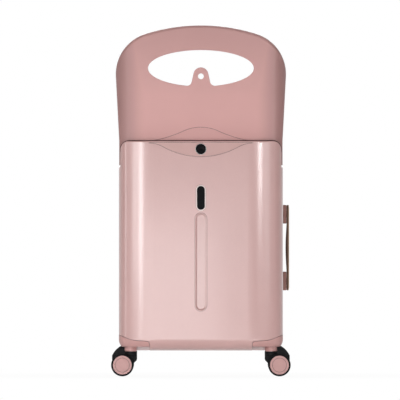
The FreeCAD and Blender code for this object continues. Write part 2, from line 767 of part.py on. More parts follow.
def seat_lid():
    """A dished panel with rolled foot, side ears, oval hole, tab and ribs."""
    far = LID_W
    body = lid_tray(0, LID_BACK_Y)
    hollow = lid_tray(LID_T, LID_BACK_Y + CUT_PAST)
    ear_top = PIVOT_Z + EAR_H
    foot_zone = block(-far, far, -CASE_D, CASE_D, 0, PIVOT_Z)
    body = body.cut(foot_zone.cut(pivot_rod(EAR_R, -far, far)))
    hollow = hollow.cut(foot_zone.cut(pivot_rod(EAR_R - LID_T, -far, far)))
    for side in (-1, 1):
        xs = sorted((side * EAR_INNER_X, side * far))
        hollow = hollow.cut(block(xs[0], xs[1], -CASE_D, CASE_D, 0, ear_top))
    body = body.cut(hollow)
    body = body.cut(block(-EAR_INNER_X, EAR_INNER_X, PIVOT_Y, CASE_D, 0, PIVOT_Z))
    ribs = None
    for place in (-1.5, -0.5, 0.5, 1.5):
        x = place * RIB_SPACING
        rib = block(x - RIB_T / 2, x + RIB_T / 2, LID_FACE_Y, LID_FACE_Y + LID_BULGE + LID_T + RIB_H,
                    LIP_TOP_Z, LIP_TOP_Z + RIB_LENGTH)
        ribs = rib if ribs is None else ribs.fuse(rib)
    ribs = ribs.common(front_layer(LID_FACE_Y, LID_BULGE_R, -LID_T / 2, -LID_T - RIB_H))
    body = body.fuse(ribs)
    body = body.cut(lid_hole())
    hole_low = HOLE_Z - HOLE_H
    body = fillet(body, HOLE_EDGE_R, lambda e: e.BoundBox.ZMin > hole_low and e.BoundBox.XMax < HOLE_W
                  and e.BoundBox.XMin > -HOLE_W and e.BoundBox.ZMax < HOLE_Z + HOLE_H
                  and e.BoundBox.YMax < LID_FACE_Y + LID_T / 2)
    layer = front_layer(LID_FACE_Y, LID_BULGE_R, CUT_PAST, LENS_PROUD - LENS_T)
    body = body.cut(lid_lens(LENS_SEAM).common(layer))
    bore = HINGE_PIN_D / 2 + RUN_FIT
    deep = LID_ROOT_W / 2 - LID_T / 2
    return body.cut(pivot_rod(bore, -deep, deep))


def lid_plate():
    return lid_lens(0).common(front_layer(LID_FACE_Y, LID_BULGE_R, LENS_PROUD, LENS_PROUD - LENS_T))


def bracket_span():
    """Inner and outer X of the right lid bracket."""
    outer = EAR_INNER_X - SIDE_PLAY
    return outer - HINGE_BRACKET_T, outer


def lid_brackets():
    """Two lugs on the deck that reach forward to the lid's pivot."""
    low, high = bracket_span()
    heel = PIVOT_Y + HINGE_HEEL_BACK
    toe = PIVOT_Y + HINGE_BRACKET_FOOT
    side_view = [
        Vector(0, heel, DECK_Z),
        Vector(0, toe, DECK_Z),
        Vector(0, toe, DECK_Z + HINGE_BRACKET_TOE),
        Vector(0, PIVOT_Y + HINGE_BOSS_R * HINGE_WEB_OUT, PIVOT_Z + HINGE_BOSS_R * HINGE_WEB_UP),
        Vector(0, PIVOT_Y, PIVOT_Z),
    ]
    web = Part.Face(Part.makePolygon(side_view + side_view[:1])).extrude(Vector(high - low, 0, 0))
    lugs = []
    for start in (low, -high):
        lug = web.copy()
        lug.translate(Vector(start, 0, 0))
        lug = lug.fuse(pivot_rod(HINGE_BOSS_R, start, start + high - low))
        lugs.append(lug.cut(pivot_rod(HINGE_PIN_D / 2, start, start + high - low)))
    return Part.makeCompound(lugs)


def lid_pins():
    low, high = bracket_span()
    end = LID_ROOT_W / 2 - LID_T / 2 - SIDE_PLAY
    return Part.makeCompound([pivot_rod(HINGE_PIN_D / 2, low, end), pivot_rod(HINGE_PIN_D / 2, -end, -low)])


def rounded_frame(x, y0, y1, z0, z1, radius):
    """A box with its two rear upright edges rounded."""
    body = block(-x, x, y0, y1, z0, z1)
    middle = (y0 + y1) / 2
    return fillet(body, radius, lambda e: is_upright(e) and e.BoundBox.YMin > middle)


def seat_support():
    """The wall on the rear deck that carries the closed lid."""
    x = HALF_W - SUPPORT_INSET
    y0 = REAR_EDGE_Y + DECK_EDGE_R
    y1 = BACK_Y - SUPPORT_INSET
    top_z = DECK_Z + SUPPORT_H
    outer = rounded_frame(x, y0, y1, DECK_Z, top_z, SUPPORT_CORNER_R)
    inner = rounded_frame(x - SUPPORT_T, y0 + SUPPORT_T, y1 - SUPPORT_T, DECK_Z, top_z,
                          SUPPORT_CORNER_R - SUPPORT_T)
    return outer.cut(inner)


def tube_x():
    return (-TROLLEY_SPAN / 2, TROLLEY_SPAN / 2)


def tube(x, outer_d, z0, z1):
    """One upright tube of the trolley."""
    start = Vector(x, TROLLEY_Y, z0)
    end = Vector(x, TROLLEY_Y, z1)
    return rod(outer_d, start, end).cut(rod(outer_d - 2 * TUBE_T, start, end))


def sleeve_foot_z():
    return CASE_BASE_Z + WALL + SLEEVE_FOOT_CLEAR


def trolley_pair(outer_d, z0, z1):
    return Part.makeCompound([tube(x, outer_d, z0, z1) for x in tube_x()])


def sleeve_holes(diameter, z0, z1):
    holes = [rod(diameter, Vector(x, TROLLEY_Y, z0), Vector(x, TROLLEY_Y, z1)) for x in tube_x()]
    return holes[0].fuse(holes[1])


def trolley_sleeves():
    return trolley_pair(SLEEVE_D, sleeve_foot_z(), BEZEL_TOP_Z)


def trolley_middle_tubes():
    return trolley_pair(MIDDLE_D, sleeve_foot_z() + TUBE_STEP, BEZEL_TOP_Z)


def trolley_inner_tubes():
    return trolley_pair(INNER_D, sleeve_foot_z() + 2 * TUBE_STEP, GRIP_BOTTOM_Z + GRIP_SOCKET)


def trolley_foot():
    """The block on the rear floor that holds both sleeves."""
    z0 = CASE_BASE_Z
    foot = block(-FOOT_W / 2, FOOT_W / 2, TROLLEY_Y - FOOT_D / 2, TROLLEY_Y + FOOT_D / 2,
                 z0, z0 + WALL + FOOT_H)
    foot = foot.common(case_block(WALL))
    return foot.cut(sleeve_holes(SLEEVE_D, sleeve_foot_z(), DECK_Z))


def trolley_bezel():
    """The deck plate around the sleeves."""
    plate = block(-BEZEL_W / 2, BEZEL_W / 2, STUD_Y - BEZEL_BEFORE_STUD, TROLLEY_Y + BEZEL_BACK,
                  DECK_Z, BEZEL_TOP_Z)
    plate = fillet(plate, BEZEL_CORNER_R, is_upright)
    plate = fillet(plate, BEZEL_EDGE_R, lambda e: lies_at(e, BEZEL_TOP_Z))
    return plate.cut(sleeve_holes(SLEEVE_D, DECK_Z, BEZEL_TOP_Z))


def catch_stud():
    """The post whose pin enters the tab's round hole."""
    seat_z = CLOSED_TOP_Z - LID_T - STUD_GAP
    foot = Vector(0, STUD_Y, BEZEL_TOP_Z)
    post = rod(STUD_POST_D, foot, Vector(0, STUD_Y, seat_z))
    tip_z = seat_z + STUD_PIN_H
    pin = rod(STUD_PIN_D, Vector(0, STUD_Y, seat_z), Vector(0, STUD_Y, tip_z))
    pin = fillet(pin, STUD_PIN_D / 4, lambda e: lies_at(e, tip_z))
    return post.fuse(pin)


def level_stadium(length, width, z0, z1):
    """A long rounded slab lying over the trolley tubes."""
    slab = block(-length / 2, length / 2, TROLLEY_Y - width / 2, TROLLEY_Y + width / 2, z0, z1)
    return fillet(slab, width / 2 - SAME, is_upright)


def grip_pocket_z():
    return GRIP_TOP_Z + GRIP_BUTTON_PROUD - GRIP_BUTTON_T - GRIP_BUTTON_TRAVEL - SIDE_PLAY


def trolley_grip():
    grip = level_stadium(GRIP_L, GRIP_D, GRIP_BOTTOM_Z, GRIP_TOP_Z)
    grip = fillet(grip, GRIP_EDGE_R, lambda e: lies_at(e, GRIP_TOP_Z))
    grip = grip.cut(sleeve_holes(INNER_D, GRIP_BOTTOM_Z, GRIP_BOTTOM_Z + GRIP_SOCKET))
    return grip.cut(level_stadium(GRIP_BUTTON_L + 2 * SEAM, GRIP_BUTTON_W + 2 * SEAM,
                                  grip_pocket_z(), GRIP_TOP_Z))


def grip_button():
    top = GRIP_TOP_Z + GRIP_BUTTON_PROUD
    cap = level_stadium(GRIP_BUTTON_L, GRIP_BUTTON_W, top - GRIP_BUTTON_T, top)
    return fillet(cap, GRIP_BUTTON_EDGE_R, lambda e: lies_at(e, top))


def rear_shell():
    body = shell(False)
    body = body.cut(sleeve_holes(SLEEVE_D, DECK_Z - WALL, DECK_Z))
    for z in mount_heights():
        body = body.cut(mount_socket(z, 0))
    return body


def mount_heights():
    return (HANDLE_MID_Z - HANDLE_SPAN / 2, HANDLE_MID_Z + HANDLE_SPAN / 2)


def mount_socket(z, grow):
    """The part of a handle mount that passes the wall and holds the leg."""
    half_h = MOUNT_H / 2 - MOUNT_LIP + grow
    half_w = MOUNT_W / 2 - MOUNT_LIP + grow
    return block(HALF_W - MOUNT_DEPTH, HALF_W, HANDLE_Y - half_w, HANDLE_Y + half_w, z - half_h, z + half_h)


def leg_space(z, grow, x0, x1):
    return block(x0, x1, HANDLE_Y - LEG_T / 2 - grow, HANDLE_Y + LEG_T / 2 + grow,
                 z - LEG_H / 2 - grow, z + LEG_H / 2 + grow)


def handle_mounts():
    """Two flanged sockets on the side wall."""
    mounts = []
    for z in mount_heights():
        flange = block(HALF_W, HALF_W + MOUNT_PROUD, HANDLE_Y - MOUNT_W / 2, HANDLE_Y + MOUNT_W / 2,
                       z - MOUNT_H / 2, z + MOUNT_H / 2)
        flange = fillet(flange, MOUNT_CORNER_R, lambda e: e.BoundBox.XLength > SHORT_EDGE)
        flange = fillet(flange, MOUNT_EDGE_R, lambda e: e.BoundBox.XMin > HALF_W + MOUNT_PROUD - NEARBY)
        mount = flange.fuse(mount_socket(z, 0))
        well = leg_space(z, SOFT_GAP, HALF_W - MOUNT_DEPTH + WALL, HALF_W + MOUNT_PROUD)
        mounts.append(mount.cut(well))
    return Part.makeCompound(mounts)


def handle_core():
    """The strap of the side handle with a leg into each mount."""
    x0 = HALF_W + STRAP_STAND_OFF
    x1 = x0 + STRAP_T
    z0 = HANDLE_MID_Z - HANDLE_L / 2
    strap = block(x0, x1, HANDLE_Y - STRAP_W / 2, HANDLE_Y + STRAP_W / 2, z0, z0 + HANDLE_L)
    strap = fillet(strap, STRAP_W / 2 - STRAP_END_FLAT, lambda e: e.BoundBox.XLength > SHORT_EDGE)
    for z in mount_heights():
        strap = strap.fuse(leg_space(z, 0, HALF_W - LEG_REACH, x1))
    return strap


def handle_cover():
    """The covering on the strap's outer face."""
    x0 = HALF_W + STRAP_STAND_OFF + STRAP_T
    x1 = x0 + STRAP_COVER_T
    z0 = HANDLE_MID_Z - HANDLE_L / 2
    cover = block(x0, x1, HANDLE_Y - STRAP_W / 2, HANDLE_Y + STRAP_W / 2, z0, z0 + HANDLE_L)
    cover = fillet(cover, STRAP_W / 2 - STRAP_END_FLAT, lambda e: e.BoundBox.XLength > SHORT_EDGE)
    return fillet(cover, STRAP_COVER_EDGE_R, lambda e: e.BoundBox.XMin > x1 - NEARBY)


def case_leaves(front):
    """Hinge leaves on the inside of the left wall, with their knuckles."""
    leaves = []
    wall_x = -HALF_W + WALL
    third = LEAF_L / 3
    sign = -1 if front else 1
    for z in HINGE_HEIGHTS:
        ys = sorted((SPLIT_Y, SPLIT_Y + sign * LEAF_DEPTH))
        leaf = block(wall_x, wall_x + LEAF_T, ys[0], ys[1], z - LEAF_L / 2, z + LEAF_L / 2)
        spans = ((-1.5, -0.5), (0.5, 1.5)) if front else ((-0.5, 0.5),)
        gaps = ((-0.5, 0.5),) if front else ((-1.5, -0.5), (0.5, 1.5))
        for low, high in gaps:
            leaf = leaf.cut(rod(2 * (KNUCKLE_R + SEAM), Vector(HINGE_X, SPLIT_Y, z + low * third - SOFT_GAP),
                                Vector(HINGE_X, SPLIT_Y, z + high * third + SOFT_GAP)))
        for low, high in spans:
            leaf = leaf.fuse(rod(2 * KNUCKLE_R, Vector(HINGE_X, SPLIT_Y, z + low * third + SOFT_GAP),
                                 Vector(HINGE_X, SPLIT_Y, z + high * third - SOFT_GAP)))
        bore_d = CASE_PIN_D if not front else CASE_PIN_D + 2 * RUN_FIT
        leaves.append(leaf.cut(rod(bore_d, Vector(HINGE_X, SPLIT_Y, z - LEAF_L),
                                   Vector(HINGE_X, SPLIT_Y, z + LEAF_L))))
    return Part.makeCompound(leaves)


def case_pins():
    return Part.makeCompound([
        rod(CASE_PIN_D, Vector(HINGE_X, SPLIT_Y, z - LEAF_L / 2), Vector(HINGE_X, SPLIT_Y, z + LEAF_L / 2))
        for z in HINGE_HEIGHTS])


def zip_tape(front):
    """The tape sewn inside the edge of one half, open at the hinge side."""
    band = case_block(WALL).cut(case_block(WALL + TAPE_T))
    sign = -1 if front else 1
    edge = SPLIT_Y + sign * TAPE_HALF_GAP
    sewn = SPLIT_Y + sign * (ZIP_GAP / 2 + TAPE_SEWN)
    ys = sorted((edge, sewn))
    return band.common(block(-HALF_W + TAPE_FROM_HINGE, CASE_W, ys[0], ys[1], 0, LIP_TOP_Z))


def zip_sliders():
    """Two sliders lying on the rear tape at the right."""
    x0 = HALF_W - WALL
    sliders = []
    for z in SLIDER_HEIGHTS:
        y0 = SPLIT_Y + TAPE_HALF_GAP
        body = block(x0, x0 + SLIDER_T, y0, y0 + SLIDER_W, z, z + SLIDER_L)
        body = fillet(body, SLIDER_EDGE_R, lambda e: e.BoundBox.XMin > x0 + SLIDER_T - NEARBY)
        sliders.append(body)
    return Part.makeCompound(sliders)


def lining_hollow(inset, back_y):
    space = case_block(inset, back_y=back_y)
    grow = inset
    for side in (-1, 1):
        for end in (-1, 1):
            space = space.cut(corner_zone(side, end, grow))
    return space


def lining(front):
    """The fabric lining of one half, a thin open tub."""
    outer_inset = WALL + TAPE_T + SOFT_GAP
    inner_inset = outer_inset + LINING_T
    back = None if front else TROLLEY_Y - SLEEVE_D / 2 - LINING_BACK_GAP
    inner_back = None if front else back - LINING_T
    tub = lining_hollow(outer_inset, back).cut(lining_hollow(inner_inset, inner_back))
    if front:
        zone = block(-CASE_W, CASE_W, -CASE_D, FRONT_EDGE_Y - TAPE_SEWN, 0, LIP_TOP_Z)
    else:
        zone = block(-CASE_W, CASE_W, REAR_EDGE_Y + TAPE_SEWN, CASE_D, 0, LIP_TOP_Z)
    tub = tub.common(zone)
    near = HALF_W - WALL - LEAF_T - SOFT_GAP
    ys = sorted((SPLIT_Y - LEAF_DEPTH - SOFT_GAP, SPLIT_Y + LEAF_DEPTH + SOFT_GAP))
    for z in HINGE_HEIGHTS:
        reach = LEAF_L / 2 + SOFT_GAP
        tub = tub.cut(block(-CASE_W, -near, ys[0], ys[1], z - reach, z + reach))
    if not front:
        for z in mount_heights():
            tub = tub.cut(mount_socket(z, SOFT_GAP))
    return tub


def packing_straps():
    """Two bands lying across the rear lining's back panel."""
    back = TROLLEY_Y - SLEEVE_D / 2 - LINING_BACK_GAP - LINING_T
    inset = WALL + TAPE_T + SOFT_GAP + LINING_T
    half = HALF_W - inset - REAR_CORNER_R
    bands = []
    for z in STRAP_BAND_HEIGHTS:
        bands.append(block(-half, half, back - STRAP_BAND_T, back, z, z + STRAP_BAND_W))
    return Part.makeCompound(bands)


def fork(side, end):
    """A central web with a rounded hood and the swivel plate."""
    stem = stem_place(side, end)
    disc = Part.makeCylinder(FORK_R, FORK_T, stem + Vector(0, -FORK_T / 2, AXLE_Z), Y_AXIS)
    reach = TRAIL + WHEEL_D / 2 - FORK_SHY
    xs = sorted((stem.x - side * FORK_INNER, stem.x + side * reach))
    low_z = AXLE_Z - FORK_LOW
    web = disc.common(block(xs[0], xs[1], -CASE_D, CASE_D, low_z, FORK_TOP_Z))
    heel_x = stem.x - side * FORK_INNER
    heel_z = AXLE_Z + FORK_HEEL_UP
    heel = [
        front_point(heel_x, heel_z),
        front_point(heel_x + side * FORK_HEEL_IN, heel_z - FORK_HEEL_IN),
        front_point(heel_x + side * FORK_HEEL_IN, 0),
        front_point(heel_x, 0),
    ]
    web = web.cut(prism_y(Part.makePolygon(heel + heel[:1]), -CASE_D, CASE_D))
    plate_top = BOSS_BOTTOM_Z - FORK_GAP
    plate = rod(FORK_PLATE_D, stem + Vector(0, 0, plate_top - FORK_PLATE_T), stem + Vector(0, 0, plate_top))
    room_d = BOSS_D + 2 * FORK_GAP
    room = rod(room_d, stem + Vector(0, 0, plate_top), stem + Vector(0, 0, FORK_TOP_Z + CUT_PAST))
    body = web.fuse(plate).cut(room)
    tyre_r = WHEEL_D / 2 + FORK_GAP
    for way in (-1, 1):
        start = stem + Vector(side * TRAIL, way * FORK_T / 2, AXLE_Z)
        body = body.cut(Part.makeCylinder(tyre_r, FORK_T, start, Vector(0, way, 0)))
    axle = stem + Vector(side * TRAIL, 0, AXLE_Z)
    along = Vector(0, CASE_D / 4, 0)
    body = body.cut(rod(AXLE_D + 2 * RUN_FIT, axle - along, axle + along))
    pin = swivel_pin(side, end)
    return body.cut(pin)


def swivel_pin(side, end):
    stem = stem_place(side, end)
    return rod(SWIVEL_PIN_D, stem + Vector(0, 0, BOSS_BOTTOM_Z - SWIVEL_PIN_DOWN),
               stem + Vector(0, 0, BOSS_BOTTOM_Z + SWIVEL_PIN_UP))


def wheel_centre(side, end):
    return stem_place(side, end) + Vector(side * TRAIL, 0, AXLE_Z)


def wheel_faces():
    """Inner and outer distance of a wheel from the middle of its caster."""
    inner = FORK_T / 2 + FORK_GAP
    return inner, inner + WHEEL_W


def caster_axle(side, end):
    centre = wheel_centre(side, end)
    reach = Vector(0, wheel_faces()[1] - HUB_DISH - AXLE_COVER_T, 0)
    return rod(AXLE_D, centre - reach, centre + reach)


def wheel_disc(side, end, way, diameter, inner, outer):
    start = wheel_centre(side, end) + Vector(0, way * inner, 0)
    return Part.makeCylinder(diameter / 2, outer - inner, start, Vector(0, way, 0))


def caster_hubs(side, end):
    """Two hub discs, each with a rim, a groove and a lower middle face."""
    inner, outer = wheel_faces()
    hubs = []
    for way in (-1, 1):
        hub = wheel_disc(side, end, way, HUB_D, inner, outer)
        dish_d = HUB_D - 2 * HUB_RIM_W
        dish = wheel_disc(side, end, way, dish_d, outer - HUB_DISH, outer)
        face = wheel_disc(side, end, way, dish_d - 2 * HUB_GROOVE_W, outer - HUB_DISH, outer - HUB_FACE_IN)
        hub = hub.cut(dish.cut(face))
        hub = hub.cut(wheel_disc(side, end, way, dish_d - 2 * HUB_GROOVE_W, outer - HUB_FACE_IN, outer))
        bore = wheel_disc(side, end, way, AXLE_D, inner, outer - HUB_DISH - AXLE_COVER_T)
        hubs.append(hub.cut(bore))
    return Part.makeCompound(hubs)


def caster_tyres(side, end):
    """Two tyres with rounded shoulders."""
    inner, outer = wheel_faces()
    tyres = []
    for way in (-1, 1):
        tyre = wheel_disc(side, end, way, WHEEL_D, inner, outer)
        tyre = fillet(tyre, TYRE_SHOULDER_R, lambda e: e.BoundBox.ZLength > HUB_D)
        tyres.append(tyre.cut(wheel_disc(side, end, way, HUB_D, inner, outer)))
    return Part.makeCompound(tyres)


def save(name, shape):
    """Writes one piece and prints what it holds."""
    print(name, len(shape.Solids), "valid", shape.isValid(), "volume", round(shape.Volume / 1000, 2))
    shape.exportStep("parts/" + name + ".step")


os.makedirs("parts", exist_ok=True)

PIECES = {
    "front_shell": front_shell,
    "rear_shell": rear_shell,
    "seat_lid": seat_lid,
    "lid_cover_plate": lid_plate,
    "lip_plate": lip_plate,
    "push_button": push_button,
    "button_housing": button_housing,
    "button_spring": button_spring,
    "front_plaque": front_plaque,
    "channel_trim": channel_trim,
    "lid_hinge_brackets": lid_brackets,
    "lid_hinge_pins": lid_pins,
    "seat_support": seat_support,
    "trolley_bezel": trolley_bezel,
    "trolley_sleeves": trolley_sleeves,
    "trolley_foot": trolley_foot,
    "trolley_middle_tubes": trolley_middle_tubes,
    "trolley_inner_tubes": trolley_inner_tubes,
    "trolley_grip": trolley_grip,
    "grip_button": grip_button,
    "lid_catch_stud": catch_stud,
    "side_handle_mounts": handle_mounts,
    "side_handle_strap": handle_core,
    "side_handle_cover": handle_cover,
    "case_hinge_pins": case_pins,
    "zip_sliders": zip_sliders,
    "packing_straps": packing_straps,
}
for piece_name, make in PIECES.items():
    save(piece_name, make())

for half_name, is_front in (("front", True), ("rear", False)):
    save(half_name + "_hinge_leaves", case_leaves(is_front))
    save(half_name + "_zip_tape", zip_tape(is_front))
    save(half_name + "_lining", lining(is_front))

for end_name, end_sign in (("front", -1), ("rear", 1)):
    end_screws = []
    for side_name, side_sign in (("left", -1), ("right", 1)):
        corner = end_name + "_" + side_name
        save(corner + "_bracket", corner_bracket(side_sign, end_sign))
        save(corner + "_fork", fork(side_sign, end_sign))
        save(corner + "_swivel_pin", swivel_pin(side_sign, end_sign))
        save(corner + "_axle", caster_axle(side_sign, end_sign))
        save(corner + "_hubs", caster_hubs(side_sign, end_sign))
        save(corner + "_tyres", caster_tyres(side_sign, end_sign))
        end_screws += bracket_screws(side_sign, end_sign)
    save(end_name + "_bracket_screws", Part.makeCompound(end_screws))
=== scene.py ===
from functools import cache, partial
from math import cos, pi, radians, sin, sqrt, tau

import bmesh
import bpy
from bpy.props import FloatProperty, FloatVectorProperty, PointerProperty
from mathutils import Matrix, Vector


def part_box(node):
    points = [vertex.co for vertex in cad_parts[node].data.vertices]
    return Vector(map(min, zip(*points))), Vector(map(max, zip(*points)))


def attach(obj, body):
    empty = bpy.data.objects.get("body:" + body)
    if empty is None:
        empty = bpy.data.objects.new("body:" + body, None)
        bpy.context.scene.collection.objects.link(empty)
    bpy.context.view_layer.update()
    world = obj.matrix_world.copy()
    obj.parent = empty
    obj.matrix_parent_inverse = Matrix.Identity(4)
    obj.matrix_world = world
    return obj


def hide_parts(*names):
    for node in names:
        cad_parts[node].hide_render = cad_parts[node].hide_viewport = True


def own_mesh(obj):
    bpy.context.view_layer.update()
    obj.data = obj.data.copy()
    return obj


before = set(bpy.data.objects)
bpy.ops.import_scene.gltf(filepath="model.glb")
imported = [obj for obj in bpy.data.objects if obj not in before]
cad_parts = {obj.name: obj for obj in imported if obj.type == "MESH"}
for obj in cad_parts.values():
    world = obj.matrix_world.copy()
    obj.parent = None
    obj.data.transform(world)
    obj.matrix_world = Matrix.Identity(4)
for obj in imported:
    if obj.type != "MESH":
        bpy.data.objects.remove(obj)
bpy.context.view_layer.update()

bl_info = {
    "name": "Ride-on Suitcase",
    "version": (1, 0, 0),
    "blender": (4, 5, 0),
    "location": "View3D > Sidebar > Suitcase",
    "description": "Finishes, zip, lining, straps and studio for a ride-on suitcase",
    "category": "Object",
}

MM = 0.001
QUARTER = pi / 2
X, Y, Z = range(3)
CORNERS = [f"{end}_{side}" for end in ("front", "rear") for side in ("left", "right")]


def colour(name, description, value):
    return FloatVectorProperty(name=name, description=description, default=value,
                               size=3, subtype="COLOR", min=0, max=1)


def number(name, description, value, low=0, **kind):
    return FloatProperty(name=name, description=description, default=value, min=low, **kind)


length = partial(number, unit="LENGTH")
power = partial(number, unit="POWER")


class SuitcaseColours(bpy.types.PropertyGroup):
    """The colours of the finishes."""
    shell: colour("Shell", "Pearl paint of the two shells", (0.630, 0.365, 0.345))
    lid: colour("Seat lid", "Satin paint of the seat lid", (0.735, 0.395, 0.375))
    plate: colour("Lip plate", "Satin paint of the half-lens plate on the lip", (0.640, 0.390, 0.365))
    moulded: colour("Moulded pink", "Plastic of the corner brackets and hub discs", (0.650, 0.370, 0.350))
    trim: colour("Channel trim", "Pearl paint of the channel", (0.600, 0.350, 0.330))
    # The plaque ring's paler colour is a painted highlight for the light on its bevel.
    ring: colour("Plaque ring", "Pearl paint of the ring round the plaque", (0.800, 0.640, 0.610))
    mount: colour("Handle mounts", "Mounts of the side handle", (0.500, 0.265, 0.225))
    # The lip seal's near-black rubber is painted shade: it draws the shadow gap between lip and seat lid.
    seal: colour("Lip seal", "Rubber at the lip", (0.060, 0.026, 0.024))
    gloss: colour("Gloss black", "Push button and plaque", (0.004, 0.004, 0.005))
    plastic: colour("Black plastic", "Forks, trolley grip, buckles and support", (0.006, 0.006, 0.007))
    rubber: colour("Rubber", "Tyres", (0.007, 0.007, 0.008))
    steel: colour("Steel", "Pins, axles, hinges, screws, spring and zip pulls", (0.560, 0.555, 0.550))
    tube: colour("Tube", "Trolley tubes", (0.640, 0.640, 0.650))
    tan: colour("Tan leather", "Outer face of the side handle", (0.520, 0.350, 0.230))
    brown: colour("Brown leather", "Strap and pad of the side handle", (0.105, 0.052, 0.034))
    thread: colour("Thread", "Stitching of the handle and the straps", (0.620, 0.470, 0.350))
    tape: colour("Zip tape", "Woven tape of the zip", (0.265, 0.128, 0.118))
    teeth: colour("Zip teeth", "Moulded teeth of the zip", (0.330, 0.170, 0.155))
    lining: colour("Lining", "Quilted lining of the two halves", (0.560, 0.380, 0.350))
    webbing: colour("Webbing", "Packing straps", (0.240, 0.110, 0.100))


class SuitcaseSizes(bpy.types.PropertyGroup):
    """The sizes of the pieces that are made here."""
    tooth_pitch: length("Tooth pitch", "From tooth to tooth on one tape", 3.0 * MM)
    tooth_width: length("Tooth width", "Zip tooth along the tape", 1.3 * MM)
    tooth_reach: length("Tooth reach", "Zip tooth past the middle of the zip", 0.9 * MM)
    tape_thickness: length("Tape thickness", "Woven tape of the zip", 0.8 * MM)
    stitch_pitch: length("Stitch pitch", "From one stitch to the next", 4.6 * MM)
    stitch_length: length("Stitch length", "One stitch", 3.2 * MM)
    stitch_thickness: length("Stitch thickness", "Thread of a stitch", 0.7 * MM)
    seam_inset: length("Seam inset", "Stitch row from the edge of the leather", 2.6 * MM)
    quilt_pitch: length("Quilt pitch", "Side of one diamond of the lining", 46 * MM)
    quilt_rise: length("Quilt rise", "Height of one diamond of the lining", 1.6 * MM)
    quilt_mesh: length("Quilt mesh", "Spacing of the lining's mesh", 7 * MM)
    buckle_length: length("Buckle length", "Buckle of a packing strap", 52 * MM)
    # The seal's rise and thickness size the dark strip that is painted shade for the gap between lip and lid.
    shadow_seal_rise: length("Seal rise", "Rubber seal above the lip's edge", 1.7 * MM)
    shadow_seal_thickness: length("Seal thickness", "Rubber seal between lip and seat lid", 0.6 * MM)
    ring_width: length("Ring width", "Bright ring round the push button", 1.0 * MM)
    pad_rise: length("Pad rise", "Swell of the pad behind the side handle", 2.6 * MM)
    dish_depth: length("Dish depth", "Hollow in the face of the push button", 1.1 * MM)


class SuitcaseStage(bpy.types.PropertyGroup):
    """The studio."""
    camera_distance: length("Camera distance", "From the case to the camera", 30.14)
    camera_height: length("Camera height", "Camera above the floor", 0.376)
    camera_x: length("Camera place", "Camera to the right of the case's middle", -1.9 * MM, low=-1)
    lens: number("Lens", "Focal length in millimetres", 1267.6, low=10)
    floor: colour("Floor", "Colour of the floor", (0.86, 0.86, 0.86))
    shine: number("Floor shine", "Share of plain white near the case", 0.95, max=1)
    white_from: length("White from", "Distance at which the floor is white", 0.7)
    ambient: number("Ambient", "Soft light from all round", 0.19)
    front_side: number("Front side", "Brightness in front of the case, as gloss shows it", 0.16)
    front_panel: power("Front panel", "Wide soft light low in front", 4.4)
    high_panel: power("High panel", "Large soft light above the camera's line", 8)
    low_panel: power("Low panel", "Soft light just above the floor in front", 0.95)
    floor_strip: power("Floor strip", "Long light on the floor that lifts the bottom edge", 0.28)
    left_strip: power("Left strip", "Upright light that draws the left highlight", 8.0)
    right_strip: power("Right strip", "Upright light that draws the right highlight", 8.4)
    left_far_strip: power("Left far strip", "Upright light further out on the left", 4.4)
    right_far_strip: power("Right far strip", "Upright light further out on the right", 2.4)
    side_panel: power("Side panel", "Tall soft light on the left", 5)
    back_panel: power("Back panel", "Soft light behind the case", 34)


def colours():
    return bpy.context.scene.suitcase_colours


def sizes():
    return bpy.context.scene.suitcase_sizes


class Nodes:
    """A shader's node tree, put together node by node."""

    def __init__(self, tree):
        self.tree = tree

    def add(self, kind, inputs=None, **settings):
        node = self.tree.nodes.new(kind)
        for name, value in settings.items():
            setattr(node, name, value)
        for socket, value in (inputs or {}).items():
            self.put(node.inputs[socket], value)
        return node

    def put(self, socket, value):
        if isinstance(value, bpy.types.NodeSocket):
            self.tree.links.new(value, socket)
        else:
            socket.default_value = value

    def span(self, value, low, high, start=0.3, stop=0.7, **settings):
        """Maps start to low and stop to high, and what lies between."""
        return self.add("ShaderNodeMapRange", {"Value": value, "From Min": start, "From Max": stop,
                                               "To Min": low, "To Max": high}, **settings).outputs["Result"]

    def maths(self, operation, first, second=0.0):
        return self.add("ShaderNodeMath", {0: first, 1: second}, operation=operation).outputs["Value"]

    def axis(self, place, name):
        return self.add("ShaderNodeSeparateXYZ", {0: place}).outputs[name]


